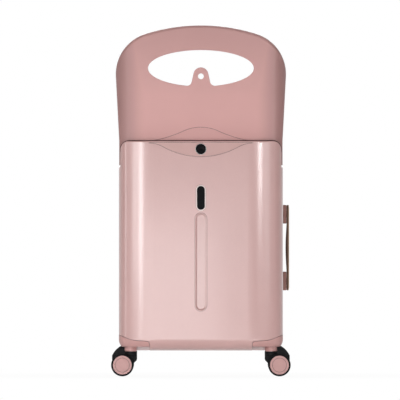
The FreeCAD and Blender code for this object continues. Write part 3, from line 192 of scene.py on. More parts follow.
class Finish(Nodes):
    """One procedural material, whose tones are shares of its base colour."""

    def __init__(self, name, base, specular=0.5, extra=None, source="Object", stretch=None):
        self.base = base
        self.material = bpy.data.materials.new(name)
        self.material.use_nodes = True
        self.material.diffuse_color = (*base, 1)
        super().__init__(self.material.node_tree)
        self.shader = self.tree.nodes["Principled BSDF"]
        for socket, value in {"Specular IOR Level": specular, **(extra or {})}.items():
            self.shader.inputs[socket].default_value = value
        self.place = self.add("ShaderNodeTexCoord").outputs[source]
        if stretch:
            self.place = self.add("ShaderNodeMapping", {0: self.place, "Scale": stretch}).outputs[0]

    def pattern(self, kind, output, inputs, **settings):
        return self.add(kind, {"Vector": self.place, **inputs}, **settings).outputs[output]

    def noise(self, scale, detail):
        return self.pattern("ShaderNodeTexNoise", "Fac", {"Scale": scale, "Detail": detail})

    def cells(self, scale, crease):
        """A grain of small cells: 0 in the creases, 1 on top."""
        edge = self.pattern("ShaderNodeTexVoronoi", "Distance", {"Scale": scale}, feature="DISTANCE_TO_EDGE")
        return self.span(edge, 0, 1, start=0.0, stop=crease)

    def bands(self, period, direction):
        """Stripes; the wave repeats every pi / 10 at a scale of 1."""
        scale = pi / (10 * period)
        return self.pattern("ShaderNodeTexWave", "Fac", {"Scale": scale}, bands_direction=direction)

    def shade(self, share, lift=0.0):
        return (*[min(1.0, c * share + lift) for c in self.base], 1)

    def mix(self, factor, first, second):
        return self.add("ShaderNodeMix", {0: factor, 6: first, 7: second}, data_type="RGBA").outputs[2]

    def drift(self, scale, dark, light):
        """A tone that wanders slowly between a dark and a light shade."""
        return self.mix(self.span(self.noise(scale, detail=3), 0, 1), dark, light)

    def bump(self, height, depth):
        inputs = {"Height": height, "Distance": depth, "Strength": 1.0}
        return self.add("ShaderNodeBump", inputs).outputs["Normal"]

    def painted_joint_shade(self, tone):
        """Paints shade into the tone in the joints, where another surface is near: a painted contact shadow.
        """
        reach = 2.5 * MM
        open_sky = self.add("ShaderNodeAmbientOcclusion", {"Distance": reach}, samples=8).outputs["AO"]
        return self.mix(self.span(open_sky, 1, 0, start=0.15, stop=0.75), tone, self.shade(0.16))

    def dress(self, tone, roughness, normal):
        for socket, value in (("Base Color", tone), ("Roughness", roughness), ("Normal", normal)):
            self.put(self.shader.inputs[socket], value)
        return self.material


def paint(name, base, roughness, flake_size, lift, edge_shade=None, **shader):
    """Sprayed paint: slow drift of tone, pearl flakes, orange peel, painted shade in the joints, and perhaps
    painted shade towards the edges.
    """
    f = Finish(name, base, **shader)
    flakes = f.noise(scale=1 / flake_size, detail=1)
    tone = f.drift(6, f.shade(0.97), f.shade(1.03))
    tone = f.mix(f.span(flakes, 0, 0.5, start=0.52, stop=0.72), tone, f.shade(1.0, lift))
    # Painted shade: the tone darkens towards the edges that the mask gives.
    if edge_shade:
        tone = f.mix(edge_shade(f), tone, f.shade(0.60))
    peel = f.noise(scale=330, detail=2)
    rough = f.span(flakes, roughness * 1.1, roughness * 0.9)
    return f.dress(f.painted_joint_shade(tone), rough, f.bump(peel, depth=0.008 * MM))


def shell_paint():
    return paint("shell_pearl", colours().shell, roughness=0.38, flake_size=0.5 * MM, lift=0.10,
                 extra={"Coat Weight": 1.0, "Coat IOR": 1.7, "Coat Roughness": 0.17})


def lid_edge_shade(f):
    """How far painted shade darkens the lid towards its sides and its end."""
    sides = f.span(f.maths("ABSOLUTE", f.axis(f.place, "X")), 0, 1, start=115 * MM, stop=175 * MM,
                   interpolation_type="SMOOTHSTEP")
    end = f.span(f.axis(f.place, "Z"), 0, 0.55, start=600 * MM, stop=748 * MM)
    return f.maths("MAXIMUM", sides, end)


def lid_paint():
    # The seat lid's paint carries painted shade towards its sides and its end.
    return paint("lid_satin", colours().lid, roughness=0.40, flake_size=0.4 * MM, lift=0.04, edge_shade=lid_edge_shade,
                 specular=0.55)


def plate_paint():
    return paint("plate_satin", colours().plate, roughness=0.34, flake_size=0.5 * MM, lift=0.08)


def trim_paint():
    """Pearl paint of the channel, and above it the ring round the plaque painted paler: a painted highlight
    for the light on the ring's bevel.
    """
    f = Finish("trim_pearl", colours().trim,
               extra={"Coat Weight": 1.0, "Coat IOR": 1.7, "Coat Roughness": 0.14})
    flakes = f.noise(scale=2000, detail=1)
    ring_width = 2.7 * MM
    # Painted highlight: the ring round the plaque, above this height, is painted paler.
    above = f.maths("GREATER_THAN", f.axis(f.place, "Z"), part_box("front_plaque")[0].z - ring_width)
    tone = f.mix(above, f.shade(1.0), (*colours().ring, 1))
    tone = f.mix(f.span(flakes, 0, 0.4, start=0.52, stop=0.72), tone, f.shade(1.0, lift=0.08))
    peel = f.noise(scale=330, detail=2)
    return f.dress(tone, f.span(flakes, 0.36, 0.28), f.bump(peel, depth=0.006 * MM))


def moulded_pink():
    """Mass-coloured plastic with a fine spark-eroded grain, and painted shade in its joints."""
    f = Finish("moulded_pink", colours().moulded, specular=0.45)
    grain = f.noise(scale=1500, detail=3)
    tone = f.drift(40, f.shade(0.95), f.shade(1.05))
    return f.dress(f.painted_joint_shade(tone), f.span(grain, 0.36, 0.46), f.bump(grain, depth=0.05 * MM))


def gloss_black():
    """Polished black with faint fingerprints."""
    f = Finish("black_gloss", colours().gloss, 0.04, {"Coat Weight": 0.02, "Coat Roughness": 0.06})
    smudge = f.noise(scale=160, detail=4)
    tone = f.mix(f.span(smudge, 0, 1), f.shade(0.9), f.shade(1.4, lift=0.001))
    ripple = f.noise(scale=500, detail=1)
    return f.dress(tone, f.span(smudge, 0.10, 0.22), f.bump(ripple, depth=0.01 * MM))


def grained_black():
    """Moulded black plastic with a leathery grain."""
    f = Finish("black_plastic", colours().plastic, specular=0.12)
    grain = f.cells(scale=900, crease=0.35)
    tone = f.drift(60, f.shade(0.8), f.shade(1.5, lift=0.001))
    wear = f.noise(scale=220, detail=3)
    return f.dress(tone, f.span(wear, 0.42, 0.56), f.bump(grain, depth=0.04 * MM))


def tyre_rubber():
    """Black rubber with a trace of dust."""
    f = Finish("tyre_rubber", colours().rubber, specular=0.1)
    dust = f.noise(scale=120, detail=4)
    tone = f.mix(f.span(dust, 0, 1, start=0.45, stop=0.8), f.shade(0.9), f.shade(1.6, lift=0.003))
    grain = f.noise(scale=1400, detail=2)
    return f.dress(tone, f.span(dust, 0.55, 0.72), f.bump(grain, depth=0.05 * MM))


def grained(name, base, scale, detail, tones, roughness, depth, **shader):
    """A material whose tone, roughness and surface all follow one grain."""
    f = Finish(name, base, **shader)
    grain = f.noise(scale, detail)
    tone = f.mix(grain, *[f.shade(share) for share in tones])
    return f.dress(tone, f.span(grain, *roughness), f.bump(grain, depth))


# Rubber of the lip's seal, dark as painted shade for the shadow gap between lip and lid.
def lip_rubber():
    return grained("lip_rubber", colours().seal, scale=700, detail=3, tones=(0.7, 1.3),
                   roughness=(0.6, 0.8), depth=0.03 * MM, specular=0.15)


def twine():
    return grained("thread", colours().thread, scale=2500, detail=2, tones=(0.75, 1.15),
                   roughness=(0.55, 0.75), depth=0.08 * MM, extra={"Sheen Weight": 0.2})


def moulded_teeth():
    return grained("zip_teeth", colours().teeth, scale=900, detail=2, tones=(0.85, 1.15),
                   roughness=(0.30, 0.42), depth=0.03 * MM)


def brushed_metal(name, base, roughness, stretch):
    """Bare metal, brushed along the axis that the stretch leaves long."""
    f = Finish(name, base, extra={"Metallic": 1.0, "Anisotropic": 0.4}, stretch=stretch)
    lines = f.noise(scale=1, detail=3)
    tone = f.mix(f.span(lines, 0, 1), f.shade(0.88), f.shade(1.08))
    return f.dress(tone, f.span(lines, roughness * 0.8, roughness * 1.25), f.bump(lines, depth=0.012 * MM))


def leather(name, base):
    """Grained leather with darker creases."""
    f = Finish(name, base, specular=0.4)
    grain = f.cells(scale=620, crease=0.22)
    tone = f.mix(grain, f.shade(0.68), f.shade(1.0))
    worn = f.noise(scale=70, detail=3)
    tone = f.mix(f.span(worn, 0, 0.5), tone, f.shade(1.18))
    return f.dress(tone, f.span(grain, 0.62, 0.46), f.bump(grain, depth=0.10 * MM))


def weave(name, base, period, depth, sheen):
    """Plain weave: threads of two directions take turns on top."""
    f = Finish(name, base, 0.25, {"Sheen Weight": sheen, "Sheen Roughness": 0.4}, source="UV")
    turns = f.pattern("ShaderNodeTexChecker", "Fac", {"Scale": 1 / period})
    over = f.maths("MULTIPLY", f.bands(period, "X"), turns)
    under = f.maths("MULTIPLY", f.bands(period, "Y"), f.maths("SUBTRACT", 1.0, turns))
    thread = f.maths("ADD", over, under)
    tone = f.mix(thread, f.shade(0.62), f.shade(1.12))
    faded = f.noise(scale=35, detail=3)
    tone = f.mix(f.span(faded, 0, 0.35), tone, f.shade(0.85))
    return f.dress(tone, f.span(thread, 0.85, 0.66, start=0, stop=1), f.bump(thread, depth))


FINISHES = {
    "shell": shell_paint,
    "lid": lid_paint,
    "plate": plate_paint,
    "trim": trim_paint,
    "mount": lambda: leather("mount_leather", colours().mount),
    "seal": lip_rubber,
    "moulded": moulded_pink,
    "gloss": gloss_black,
    "plastic": grained_black,
    "rubber": tyre_rubber,
    "steel": lambda: brushed_metal("steel", colours().steel, 0.28, stretch=(900, 900, 900)),
    "tube": lambda: brushed_metal("aluminium_tube", colours().tube, 0.30, stretch=(2200, 2200, 30)),
    "tan": lambda: leather("tan_leather", colours().tan),
    "brown": lambda: leather("brown_leather", colours().brown),
    "thread": twine,
    "tape": lambda: weave("zip_tape", colours().tape, 0.9 * MM, depth=0.12 * MM, sheen=0.15),
    "teeth": moulded_teeth,
    "lining": lambda: weave("lining_cloth", colours().lining, 1.1 * MM, depth=0.08 * MM, sheen=0.3),
    "webbing": lambda: weave("webbing", colours().webbing, 1.5 * MM, depth=0.25 * MM, sheen=0.15),
}


@cache
def finish(key):
    """A finish by name, made once."""
    return FINISHES[key]()


def dress(key, *nodes):
    """Puts a finish on CAD nodes."""
    for name in nodes:
        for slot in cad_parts[name].material_slots:
            slot.material = finish(key)


def placed(name, mesh, material):
    """Turns a bmesh into an object of the scene."""
    data = bpy.data.meshes.new(name)
    mesh.to_mesh(data)
    mesh.free()
    data.materials.append(material)
    made = bpy.data.objects.new(name, data)
    bpy.context.scene.collection.objects.link(made)
    return made


def piece(name, mesh, key, body):
    """Turns a bmesh into a piece of the suitcase that moves with a body."""
    made = placed(name, mesh, finish(key))
    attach(made, body)
    return made


def thicken(obj, thickness):
    """Gives a drawn strip or web its thickness, half to each side."""
    wall = obj.modifiers.new("thickness", "SOLIDIFY")
    wall.thickness = thickness
    wall.offset = 0


def tidy(mesh, smooth=True):
    """Merges doubles, turns the faces outwards and shades the mesh."""
    bmesh.ops.remove_doubles(mesh, verts=mesh.verts, dist=1e-6)
    bmesh.ops.recalc_face_normals(mesh, faces=mesh.faces)
    for face in mesh.faces:
        face.smooth = smooth
    return mesh


def sharpen(mesh, angle):
    """Keeps corners crisp that turn by more than an angle in degrees."""
    for edge in mesh.edges:
        edge.smooth = edge.calc_face_angle(0) < radians(angle)


def bevel(mesh, edges, width, segments):
    bmesh.ops.bevel(mesh, geom=list(edges), offset=width, affect="EDGES", segments=segments, profile=0.5,
                    material=-1)


def cut(mesh, place, normal, dist):
    """Cuts every face along a plane."""
    bmesh.ops.bisect_plane(mesh, geom=mesh.verts[:] + mesh.edges[:] + mesh.faces[:], dist=dist,
                           plane_co=place, plane_no=normal)


def slab(mesh, low, high):
    """A box between two corners; returns its vertices."""
    middle = (Vector(low) + Vector(high)) / 2
    size = Vector(high) - Vector(low)
    place = Matrix.Translation(middle) @ Matrix.Diagonal((*size, 1))
    return bmesh.ops.create_cube(mesh, size=1, matrix=place)["verts"]


def edges_of(verts):
    return {e for v in verts for e in v.link_edges}


def along(verts, axis):
    """The edges of a slab that run along one axis."""
    return [e for e in edges_of(verts)
            if abs((e.verts[0].co - e.verts[1].co).normalized()[axis]) > 0.99]


def rightmost(mesh):
    return max(mesh.faces, key=lambda f: f.calc_center_median().x)


def verts_in(geom):
    return [g for g in geom if isinstance(g, bmesh.types.BMVert)]


def edges_in(geom):
    return [g for g in geom if isinstance(g, bmesh.types.BMEdge)]


def turned(mesh, outline, z):
    """Spins a profile of radii and depths round the line into the case at a height."""
    verts = [mesh.verts.new((radius, depth, z)) for radius, depth in outline]
    edges = [mesh.edges.new(pair) for pair in zip(verts, verts[1:])]
    bmesh.ops.spin(mesh, geom=verts + edges, cent=(0, 0, z), axis=(0, 1, 0), angle=tau, steps=48,
                   use_merge=True)


def stitch(mesh, middle, tangent, normal):
    """One stitch of thread, lying along the tangent on a surface."""
    s = sizes()
    across = normal.cross(tangent)
    turn = Matrix((tangent, across, normal)).transposed().to_4x4()
    shape = Matrix.Diagonal((s.stitch_length / 2, s.stitch_thickness / 2, s.stitch_thickness / 2, 1))
    bmesh.ops.create_uvsphere(mesh, u_segments=8, v_segments=6, radius=1,
                              matrix=Matrix.Translation(middle) @ turn @ shape)


def spot(left, u, v, way, runs, turns):
    """The place at a length along straight runs and quarter turns, and its heading there."""
    for run, turn in zip(runs, turns):
        step = min(left, run)
        u, v, left = u + step * cos(way), v + step * sin(way), left - step
        if left <= 0:
            break
        bend = min(left / turn, QUARTER)
        u += turn * (sin(way + bend) - sin(way))
        v += turn * (cos(way) - cos(way + bend))
        way, left = way + bend, left - bend * turn
    return u, v, way


def ribbon(mesh, ends, legs, axis):
    """Draws a strip from an edge: a leg is a straight move, then a quarter turn if it has a centre."""
    edge = mesh.edges.new([mesh.verts.new(end) for end in ends])
    for move, centre in legs:
        grown = bmesh.ops.extrude_edge_only(mesh, edges=[edge])["geom"]
        bmesh.ops.translate(mesh, verts=verts_in(grown), vec=move)
        edge = edges_in(grown)[0]
        if centre:
            spun = bmesh.ops.spin(mesh, geom=[*edge.verts, edge], cent=centre, axis=axis, angle=QUARTER,
                                  steps=8)["geom_last"]
            edge = edges_in(spun)[0]


def paint_uv(mesh, flatten):
    """Lays a UV map in metres; flatten gives the place on the cloth of a point on a face."""
    layer = mesh.loops.layers.uv.new("cloth")
    for face in mesh.faces:
        for loop in face.loops:
            loop[layer].uv = flatten(loop.vert.co, face.normal)


def panel_place(co, normal):
    """The place of a point on its flat panel of the lining."""
    axis = max(range(3), key=lambda i: abs(normal[i]))
    return tuple(co[i] for i in range(3) if i != axis)


class Dressing:
    """A step that puts finishes on CAD nodes, as its table says."""

    def execute(self, context):
        for key, nodes in self.TABLE.items():
            dress(key, *nodes)
        return {"FINISHED"}


class SUITCASE_OT_shells(Dressing, bpy.types.Operator):
    """Paints the two shells and the corner brackets"""
    bl_idname = "suitcase.shells"
    bl_label = "Shells and Brackets"

    TABLE = {"shell": ["front_shell", "rear_shell"], "moulded": [f"{c}_bracket" for c in CORNERS]}


class SUITCASE_OT_seat_lid(Dressing, bpy.types.Operator):
    """Paints the seat lid with its cover plate and finishes its hinges"""
    bl_idname = "suitcase.seat_lid"
    bl_label = "Seat Lid"

    TABLE = {"lid": ["seat_lid", "lid_cover_plate", "lid_hinge_brackets"], "steel": ["lid_hinge_pins"],
             "plastic": ["seat_support"]}


class SUITCASE_OT_front_trim(bpy.types.Operator):
    """Makes the dished push button with its ring and spring, and finishes plate, plaque and channel"""
    bl_idname = "suitcase.front_trim"
    bl_label = "Front Trim"

    def execute(self, context):
        dress("plate", "lip_plate")
        dress("trim", "channel_trim")
        dress("gloss", "front_plaque")
        dress("plastic", "button_housing")
        self.spring()
        low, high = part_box("push_button")
        z, radius = (low.z + high.z) / 2, (high.x - low.x) / 2
        self.button(low.y, high.y, z, radius)
        self.ring(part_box("lip_plate")[0].y, z, radius)
        return {"FINISHED"}

    @staticmethod
    def button(front, back, z, radius):
        """The button's dished face with its rolled edge, and the stem behind it."""
        dish, edge, head, stem = sizes().dish_depth, 1.2 * MM, front + 6 * MM, 3.5 * MM
        curve = ((0, 1), (0.25, 0.93), (0.45, 0.70), (0.62, 0.30), (0.72, 0))
        outline = [(far * radius, front + deep * dish) for far, deep in curve]
        outline += [(radius - edge, front), (radius - 0.3 * edge, front + 0.3 * edge), (radius, front + edge),
                    (radius, head), (stem, head), (stem, back), (0, back)]
        mesh = bmesh.new()
        turned(mesh, outline, z)
        sharpen(tidy(mesh), 50)
        button = piece("push_button_dished", mesh, "gloss", "front_button")
        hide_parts("push_button")

    @staticmethod
    def ring(face, z, radius):
        """The bright ring that stands on the lip's plate round the button."""
        gap, width, proud = 0.45 * MM, sizes().ring_width, 0.7 * MM
        inner, outer = radius + gap, radius + gap + width
        outline = [(inner, face), (inner, face - 0.6 * proud), (inner + 0.3 * width, face - proud),
                   (outer - 0.3 * width, face - proud), (outer, face - 0.5 * proud), (outer, face),
                   (inner, face)]
        mesh = bmesh.new()
        turned(mesh, outline, z)
        piece("button_ring", tidy(mesh), "steel", "front_half")

    @staticmethod
    def spring():
        """The button's wound return spring."""
        low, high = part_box("button_spring")
        z, long, wire, travel = (low.z + high.z) / 2, high.y - low.y, 0.8 * MM, 2.5 * MM
        coil, turns, turn_steps = (high.x - low.x - wire) / 2, 7, 24
        steps = turns * turn_steps
        mesh = bmesh.new()
        start = bmesh.ops.create_circle(mesh, segments=8, radius=wire / 2,
                                        matrix=Matrix.Translation((coil, low.y + wire / 2, z)))["verts"]
        bmesh.ops.spin(mesh, geom=start + list(edges_of(start)), cent=(0, 0, z), axis=(0, 1, 0),
                       angle=turns * tau, steps=steps, dvec=(0, (long - wire) / steps, 0))
        bmesh.ops.holes_fill(mesh, edges=[e for e in mesh.edges if e.is_boundary])
        spring = piece("button_coil", tidy(mesh), "steel", "front_half")
        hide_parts("button_spring")
        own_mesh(spring)


class SUITCASE_OT_lip_shadow_seal(bpy.types.Operator):
    """Makes a dark rubber seal along the lip, against which the seat lid stands; the dark strip is painted
    shade for the shadow gap between lip and lid
    """
    bl_idname = "suitcase.lip_seal"
    bl_label = "Lip Seal"

    def execute(self, context):
        s = sizes()
        top, back, side, turn, foot, sunk = 502 * MM, -111.5 * MM, 171 * MM, 19 * MM, 479 * MM, 1.5 * MM
        y, shoulder = back + s.shadow_seal_thickness / 2, top - turn
        ends = [Vector((-side + d, y, foot)) for d in (sunk, -s.shadow_seal_rise)]
        legs = [((0, 0, shoulder - foot), Vector((-side + turn, y, shoulder))),
                ((2 * (side - turn), 0, 0), Vector((side - turn, y, shoulder))),
                ((0, 0, foot - shoulder), None)]
        mesh = bmesh.new()
        ribbon(mesh, ends, legs, (0, 1, 0))
        seal = piece("lip_seal", tidy(mesh), "seal", "front_half")
        thicken(seal, s.shadow_seal_thickness)
        return {"FINISHED"}


class SUITCASE_OT_casters(Dressing, bpy.types.Operator):
    """Finishes the forks, pins, hubs and tyres of the four casters"""
    bl_idname = "suitcase.casters"
    bl_label = "Casters"

    TABLE = {"plastic": [f"{c}_fork" for c in CORNERS], "moulded": [f"{c}_hubs" for c in CORNERS],
             "rubber": [f"{c}_tyres" for c in CORNERS],
             "steel": [f"{c}_{pin}" for c in CORNERS for pin in ("swivel_pin", "axle")]}


class SUITCASE_OT_trolley(Dressing, bpy.types.Operator):
    """Finishes the trolley handle with its bezel, tubes and grip, and the catch stud"""
    bl_idname = "suitcase.trolley"
    bl_label = "Trolley Handle"

    TABLE = {"plastic": ["trolley_bezel", "trolley_foot", "trolley_grip", "lid_catch_stud"],
             "gloss": ["grip_button"],
             "tube": ["trolley_sleeves", "trolley_middle_tubes", "trolley_inner_tubes"]}


class SUITCASE_OT_side_handle(bpy.types.Operator):
    """Makes the side handle's padded leather, before and behind its strap, and its seam"""
    bl_idname = "suitcase.side_handle"
    bl_label = "Side Handle"

    def execute(self, context):
        dress("brown", "side_handle_strap")
        dress("mount", "side_handle_mounts")
        low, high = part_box("side_handle_cover")
        end_flat, strap_thickness = 2 * MM, 2.4 * MM
        corner = (high.y - low.y) / 2 - end_flat
        self.cover(low, high, corner)
        self.seam((low + high) / 2, (high - low) / 2, corner)
        self.pad(low, high, low.x - strap_thickness)
        return {"FINISHED"}

    @staticmethod
    def cover(low, high, corner):
        """The outer face: a groove for the seam all round, and the padding within it."""
        sink, edge, seam_edge = 0.7 * MM, 1.1 * MM, 1.5 * MM
        groove = ((sizes().seam_inset - seam_edge, 0), (0.7 * MM, -0.5 * MM))
        padding = ((0.9 * MM, 0.6 * MM), (1.6 * MM, 0.4 * MM), (2.0 * MM, 0.2 * MM))
        mesh = bmesh.new()
        verts = slab(mesh, low, (high.x - sink, high.y, high.z))
        bevel(mesh, along(verts, X), corner, 8)
        bevel(mesh, rightmost(mesh).edges, edge, 3)
        face = rightmost(mesh)
        for thickness, depth in (*groove, *padding):
            bmesh.ops.inset_region(mesh, faces=[face], thickness=thickness, depth=depth)
        sharpen(tidy(mesh), 60)
        cover = piece("side_handle_leather", mesh, "tan", "side_handle")
        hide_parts("side_handle_cover")

    @staticmethod
    def seam(middle, half, corner):
        """The stitches in the cover's groove, round a rectangle with round corners."""
        s = sizes()
        past_edge, sink = 0.3 * MM, 0.75 * MM
        inset = s.seam_inset + past_edge
        wide, long, radius = half.y - inset, half.z - inset, corner - inset
        runs, turns = (2 * (long - radius), 2 * (wide - radius)) * 2, (radius,) * 4
        total = sum(runs) + tau * radius
        count = round(total / s.stitch_pitch)
        mesh = bmesh.new()
        for k in range(count):
            u, v, way = spot(k * total / count, wide, radius - long, QUARTER, runs, turns)
            stitch(mesh, middle + Vector((half.x - sink, u, v)),
                   Vector((0, cos(way), sin(way))), Vector((1, 0, 0)))
        piece("side_handle_stitches", tidy(mesh), "thread", "side_handle")

    @staticmethod
    def pad(low, high, back):
        """The leather behind the strap, which swells into a pad between the mounts."""
        gap, edge, inset, swell_half = 0.02 * MM, 0.4 * MM, 1 * MM, 50 * MM
        face, middle = back - gap, (low + high) / 2
        mesh = bmesh.new()
        slab(mesh, (face - edge, low.y + inset, low.z + inset), (face, high.y - inset, high.z - inset))
        for axis, cuts in ((Z, 35), (Y, 5)):
            bmesh.ops.subdivide_edges(mesh, edges=along(mesh.verts, axis), cuts=cuts, use_grid_fill=True)
        rise = sizes().pad_rise - edge
        for vert in [v for v in mesh.verts if v.co.x < face - edge / 2]:
            across = (2 * vert.co.y - low.y - high.y) / (high.y - low.y)
            far = max(-1.0, min(1.0, (vert.co.z - middle.z) / swell_half))
            vert.co.x -= rise * cos(far * QUARTER) * (1 - across ** 4)
        pad = piece("side_handle_pad", tidy(mesh), "brown", "side_handle")


class ZipLine:
    """The zip's line round the case: along the floor, up the right side and back along the top."""

    def __init__(self, low, high):
        sink, low_turn, top_turn = 0.75 * MM, 21 * MM, 3 * MM
        self.start = Vector((low.x, 0, low.z + sink))
        self.turns = (low_turn - sink, top_turn - sink, None)
        right, top = high.x - sink, high.z - sink
        self.runs = (right - self.turns[0] - low.x,
                     top - self.turns[1] - self.start.z - self.turns[0],
                     right - self.turns[1] - low.x)
        self.total = sum(self.runs) + sum(self.turns[:2]) * QUARTER

    def at(self, left):
        """The place at a length along the line, and its heading there."""
        x, z, way = spot(left, self.start.x, self.start.z, 0.0, self.runs, self.turns)
        return Vector((x, 0, z)), way

    def tape(self, mesh, y0, y1):
        """Draws the tape along the line between two depths."""
        place, legs = self.start.copy(), []
        for k, (run, turn) in enumerate(zip(self.runs, self.turns)):
            way = k * QUARTER
            ahead = Vector((cos(way), 0, sin(way)))
            left = Vector((-ahead.z, 0, ahead.x))
            place += run * ahead
            legs.append((run * ahead, place + turn * left if turn else None))
            if turn:
                place += turn * (left + ahead)
        ribbon(mesh, [self.start + Vector((0, y, 0)) for y in (y0, y1)], legs, (0, -1, 0))


class SUITCASE_OT_zip(bpy.types.Operator):
    """Makes the woven tapes, moulded teeth and pulls of the zip"""
    bl_idname = "suitcase.zip"
    bl_label = "Zip"

    def execute(self, context):
        split = (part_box("front_zip_tape")[1].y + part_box("rear_zip_tape")[0].y) / 2
        for half, side, first in (("front", -1, 1.0), ("rear", 1, 0.5)):
            low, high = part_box(f"{half}_zip_tape")
            line = ZipLine(low, high)
            mesh = bmesh.new()
            line.tape(mesh, low.y, high.y)
            tidy(mesh)
            paint_uv(mesh, lambda co, normal: (co.x + co.z, co.y))
            tape = piece(f"{half}_zip_tape_woven", mesh, "tape", f"{half}_half")
            thicken(tape, sizes().tape_thickness)
            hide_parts(f"{half}_zip_tape")
            mesh = self.teeth(line, split, side, first)
            piece(f"{half}_zip_teeth", mesh, "teeth", f"{half}_half")
        dress("steel", "zip_sliders")
        piece("zip_pulls", self.pulls(*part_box("zip_sliders")), "steel", "rear_half")
        return {"FINISHED"}

    @staticmethod
    def teeth(line, split, side, first):
        """The teeth of one tape, half a pitch from those of the other."""
        s = sizes()
        root, reach, height, edge = 2.0 * MM, s.tooth_reach, 2.0 * MM, 0.25 * MM
        shape = Matrix.Diagonal((s.tooth_width, root + reach, height, 1))
        mesh = bmesh.new()
        for k in range(int(line.total / s.tooth_pitch - 1)):
            place, way = line.at((k + first) * s.tooth_pitch)
            place.y = split + side * (root - reach) / 2
            bmesh.ops.create_cube(mesh, size=1, matrix=Matrix.Translation(place)
                                  @ Matrix.Rotation(-way, 4, "Y") @ shape)
        bevel(mesh, mesh.edges[:], edge, 1)
        return tidy(mesh, False)

    @staticmethod
    def pulls(low, high):
        """The open pull under each slider: a rounded plate with a window."""
        slider, half_wide, thick, gap, long = 14 * MM, 2.2 * MM, 1.1 * MM, 0.4 * MM, 9.6 * MM
        back, corner, rim = low.x + 0.9 * MM, 1.8 * MM, 1.1 * MM
        tops, y = (low.z, high.z - slider), (low.y + high.y) / 2
        mesh = bmesh.new()
        for top in tops:
            verts = slab(mesh, (back, y - half_wide, top - long), (back + thick, y + half_wide, top - gap))
            bevel(mesh, along(verts, X), corner, 4)
        walls = [f for f in mesh.faces if abs(f.normal.x) > 0.9]
        bmesh.ops.inset_individual(mesh, faces=walls, thickness=rim, depth=0)
        rims = [e for f in walls for e in f.edges]
        bmesh.ops.delete(mesh, geom=walls, context="FACES_ONLY")
        for top in tops:
            window = [e for e in rims if top - long < e.verts[0].co.z < top]
            bmesh.ops.bridge_loops(mesh, edges=window)
        sharpen(tidy(mesh), 40)
        return mesh


class SUITCASE_OT_lining(bpy.types.Operator):
    """Makes the quilted linings of the two halves"""
    bl_idname = "suitcase.lining"
    bl_label = "Linings"

    def execute(self, context):
        strap_low, strap_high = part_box("packing_straps")
        margin = 8 * MM
        for half, band in (("front", None), ("rear", (strap_low.z - margin, strap_high.z + margin))):
            low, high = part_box(f"{half}_lining")
            size = high - low
            mesh = self.cloth_of(f"{half}_lining", low, size)
            cloth_area = sum(f.calc_area() for f in mesh.faces) / 2
            self.quilt(mesh, (low + high) / 2, band)
            paint_uv(mesh, panel_place)
            sharpen(mesh, 50)
            cloth = piece(f"{half}_lining_quilted", mesh, "lining", f"{half}_half")
            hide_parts(f"{half}_lining")
        return {"FINISHED"}

    @staticmethod
    def cloth_of(node, low, size):
        """The CAD lining, cut into a fine even mesh."""
        weld = 0.02 * MM
        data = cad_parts[node].data.copy()
        for name in [a.name for a in data.attributes if a.name == "custom_normal"]:
            data.attributes.remove(data.attributes[name])
        mesh = bmesh.new()
        mesh.from_mesh(data)
        bpy.data.meshes.remove(data)
        bmesh.ops.remove_doubles(mesh, verts=mesh.verts, dist=weld)
        for axis in range(3):
            count = int(size[axis] / sizes().quilt_mesh)
            normal = Vector([float(i == axis) for i in range(3)])
            for k in range(1, count):
                cut(mesh, low + normal * k * size[axis] / count, normal, dist=1e-6)
        return tidy(mesh)

    @staticmethod
    def quilt(mesh, middle, band):
        """Raises diamonds on the faces that look into the case, except behind the straps."""
        s = sizes()
        diagonal = sqrt(2) * s.quilt_pitch
        moves = {}
        for vert in mesh.verts:
            normal = vert.normal
            inward = middle - vert.co
            if normal.dot(inward) < 0.2 * inward.length:
                continue
            u, v = panel_place(vert.co, normal)
            swell = sin(pi * (u + v) / diagonal) * sin(pi * (u - v) / diagonal)
            flat = min(1.0, max(0.0, (max(abs(c) for c in normal) - 0.8) / 0.2))
            if band and band[0] < vert.co.z < band[1] and abs(normal.y) > 0.9:
                flat = 0.0
            moves[vert] = normal * s.quilt_rise * flat * sqrt(abs(swell))
        for vert, move in moves.items():
            vert.co += move


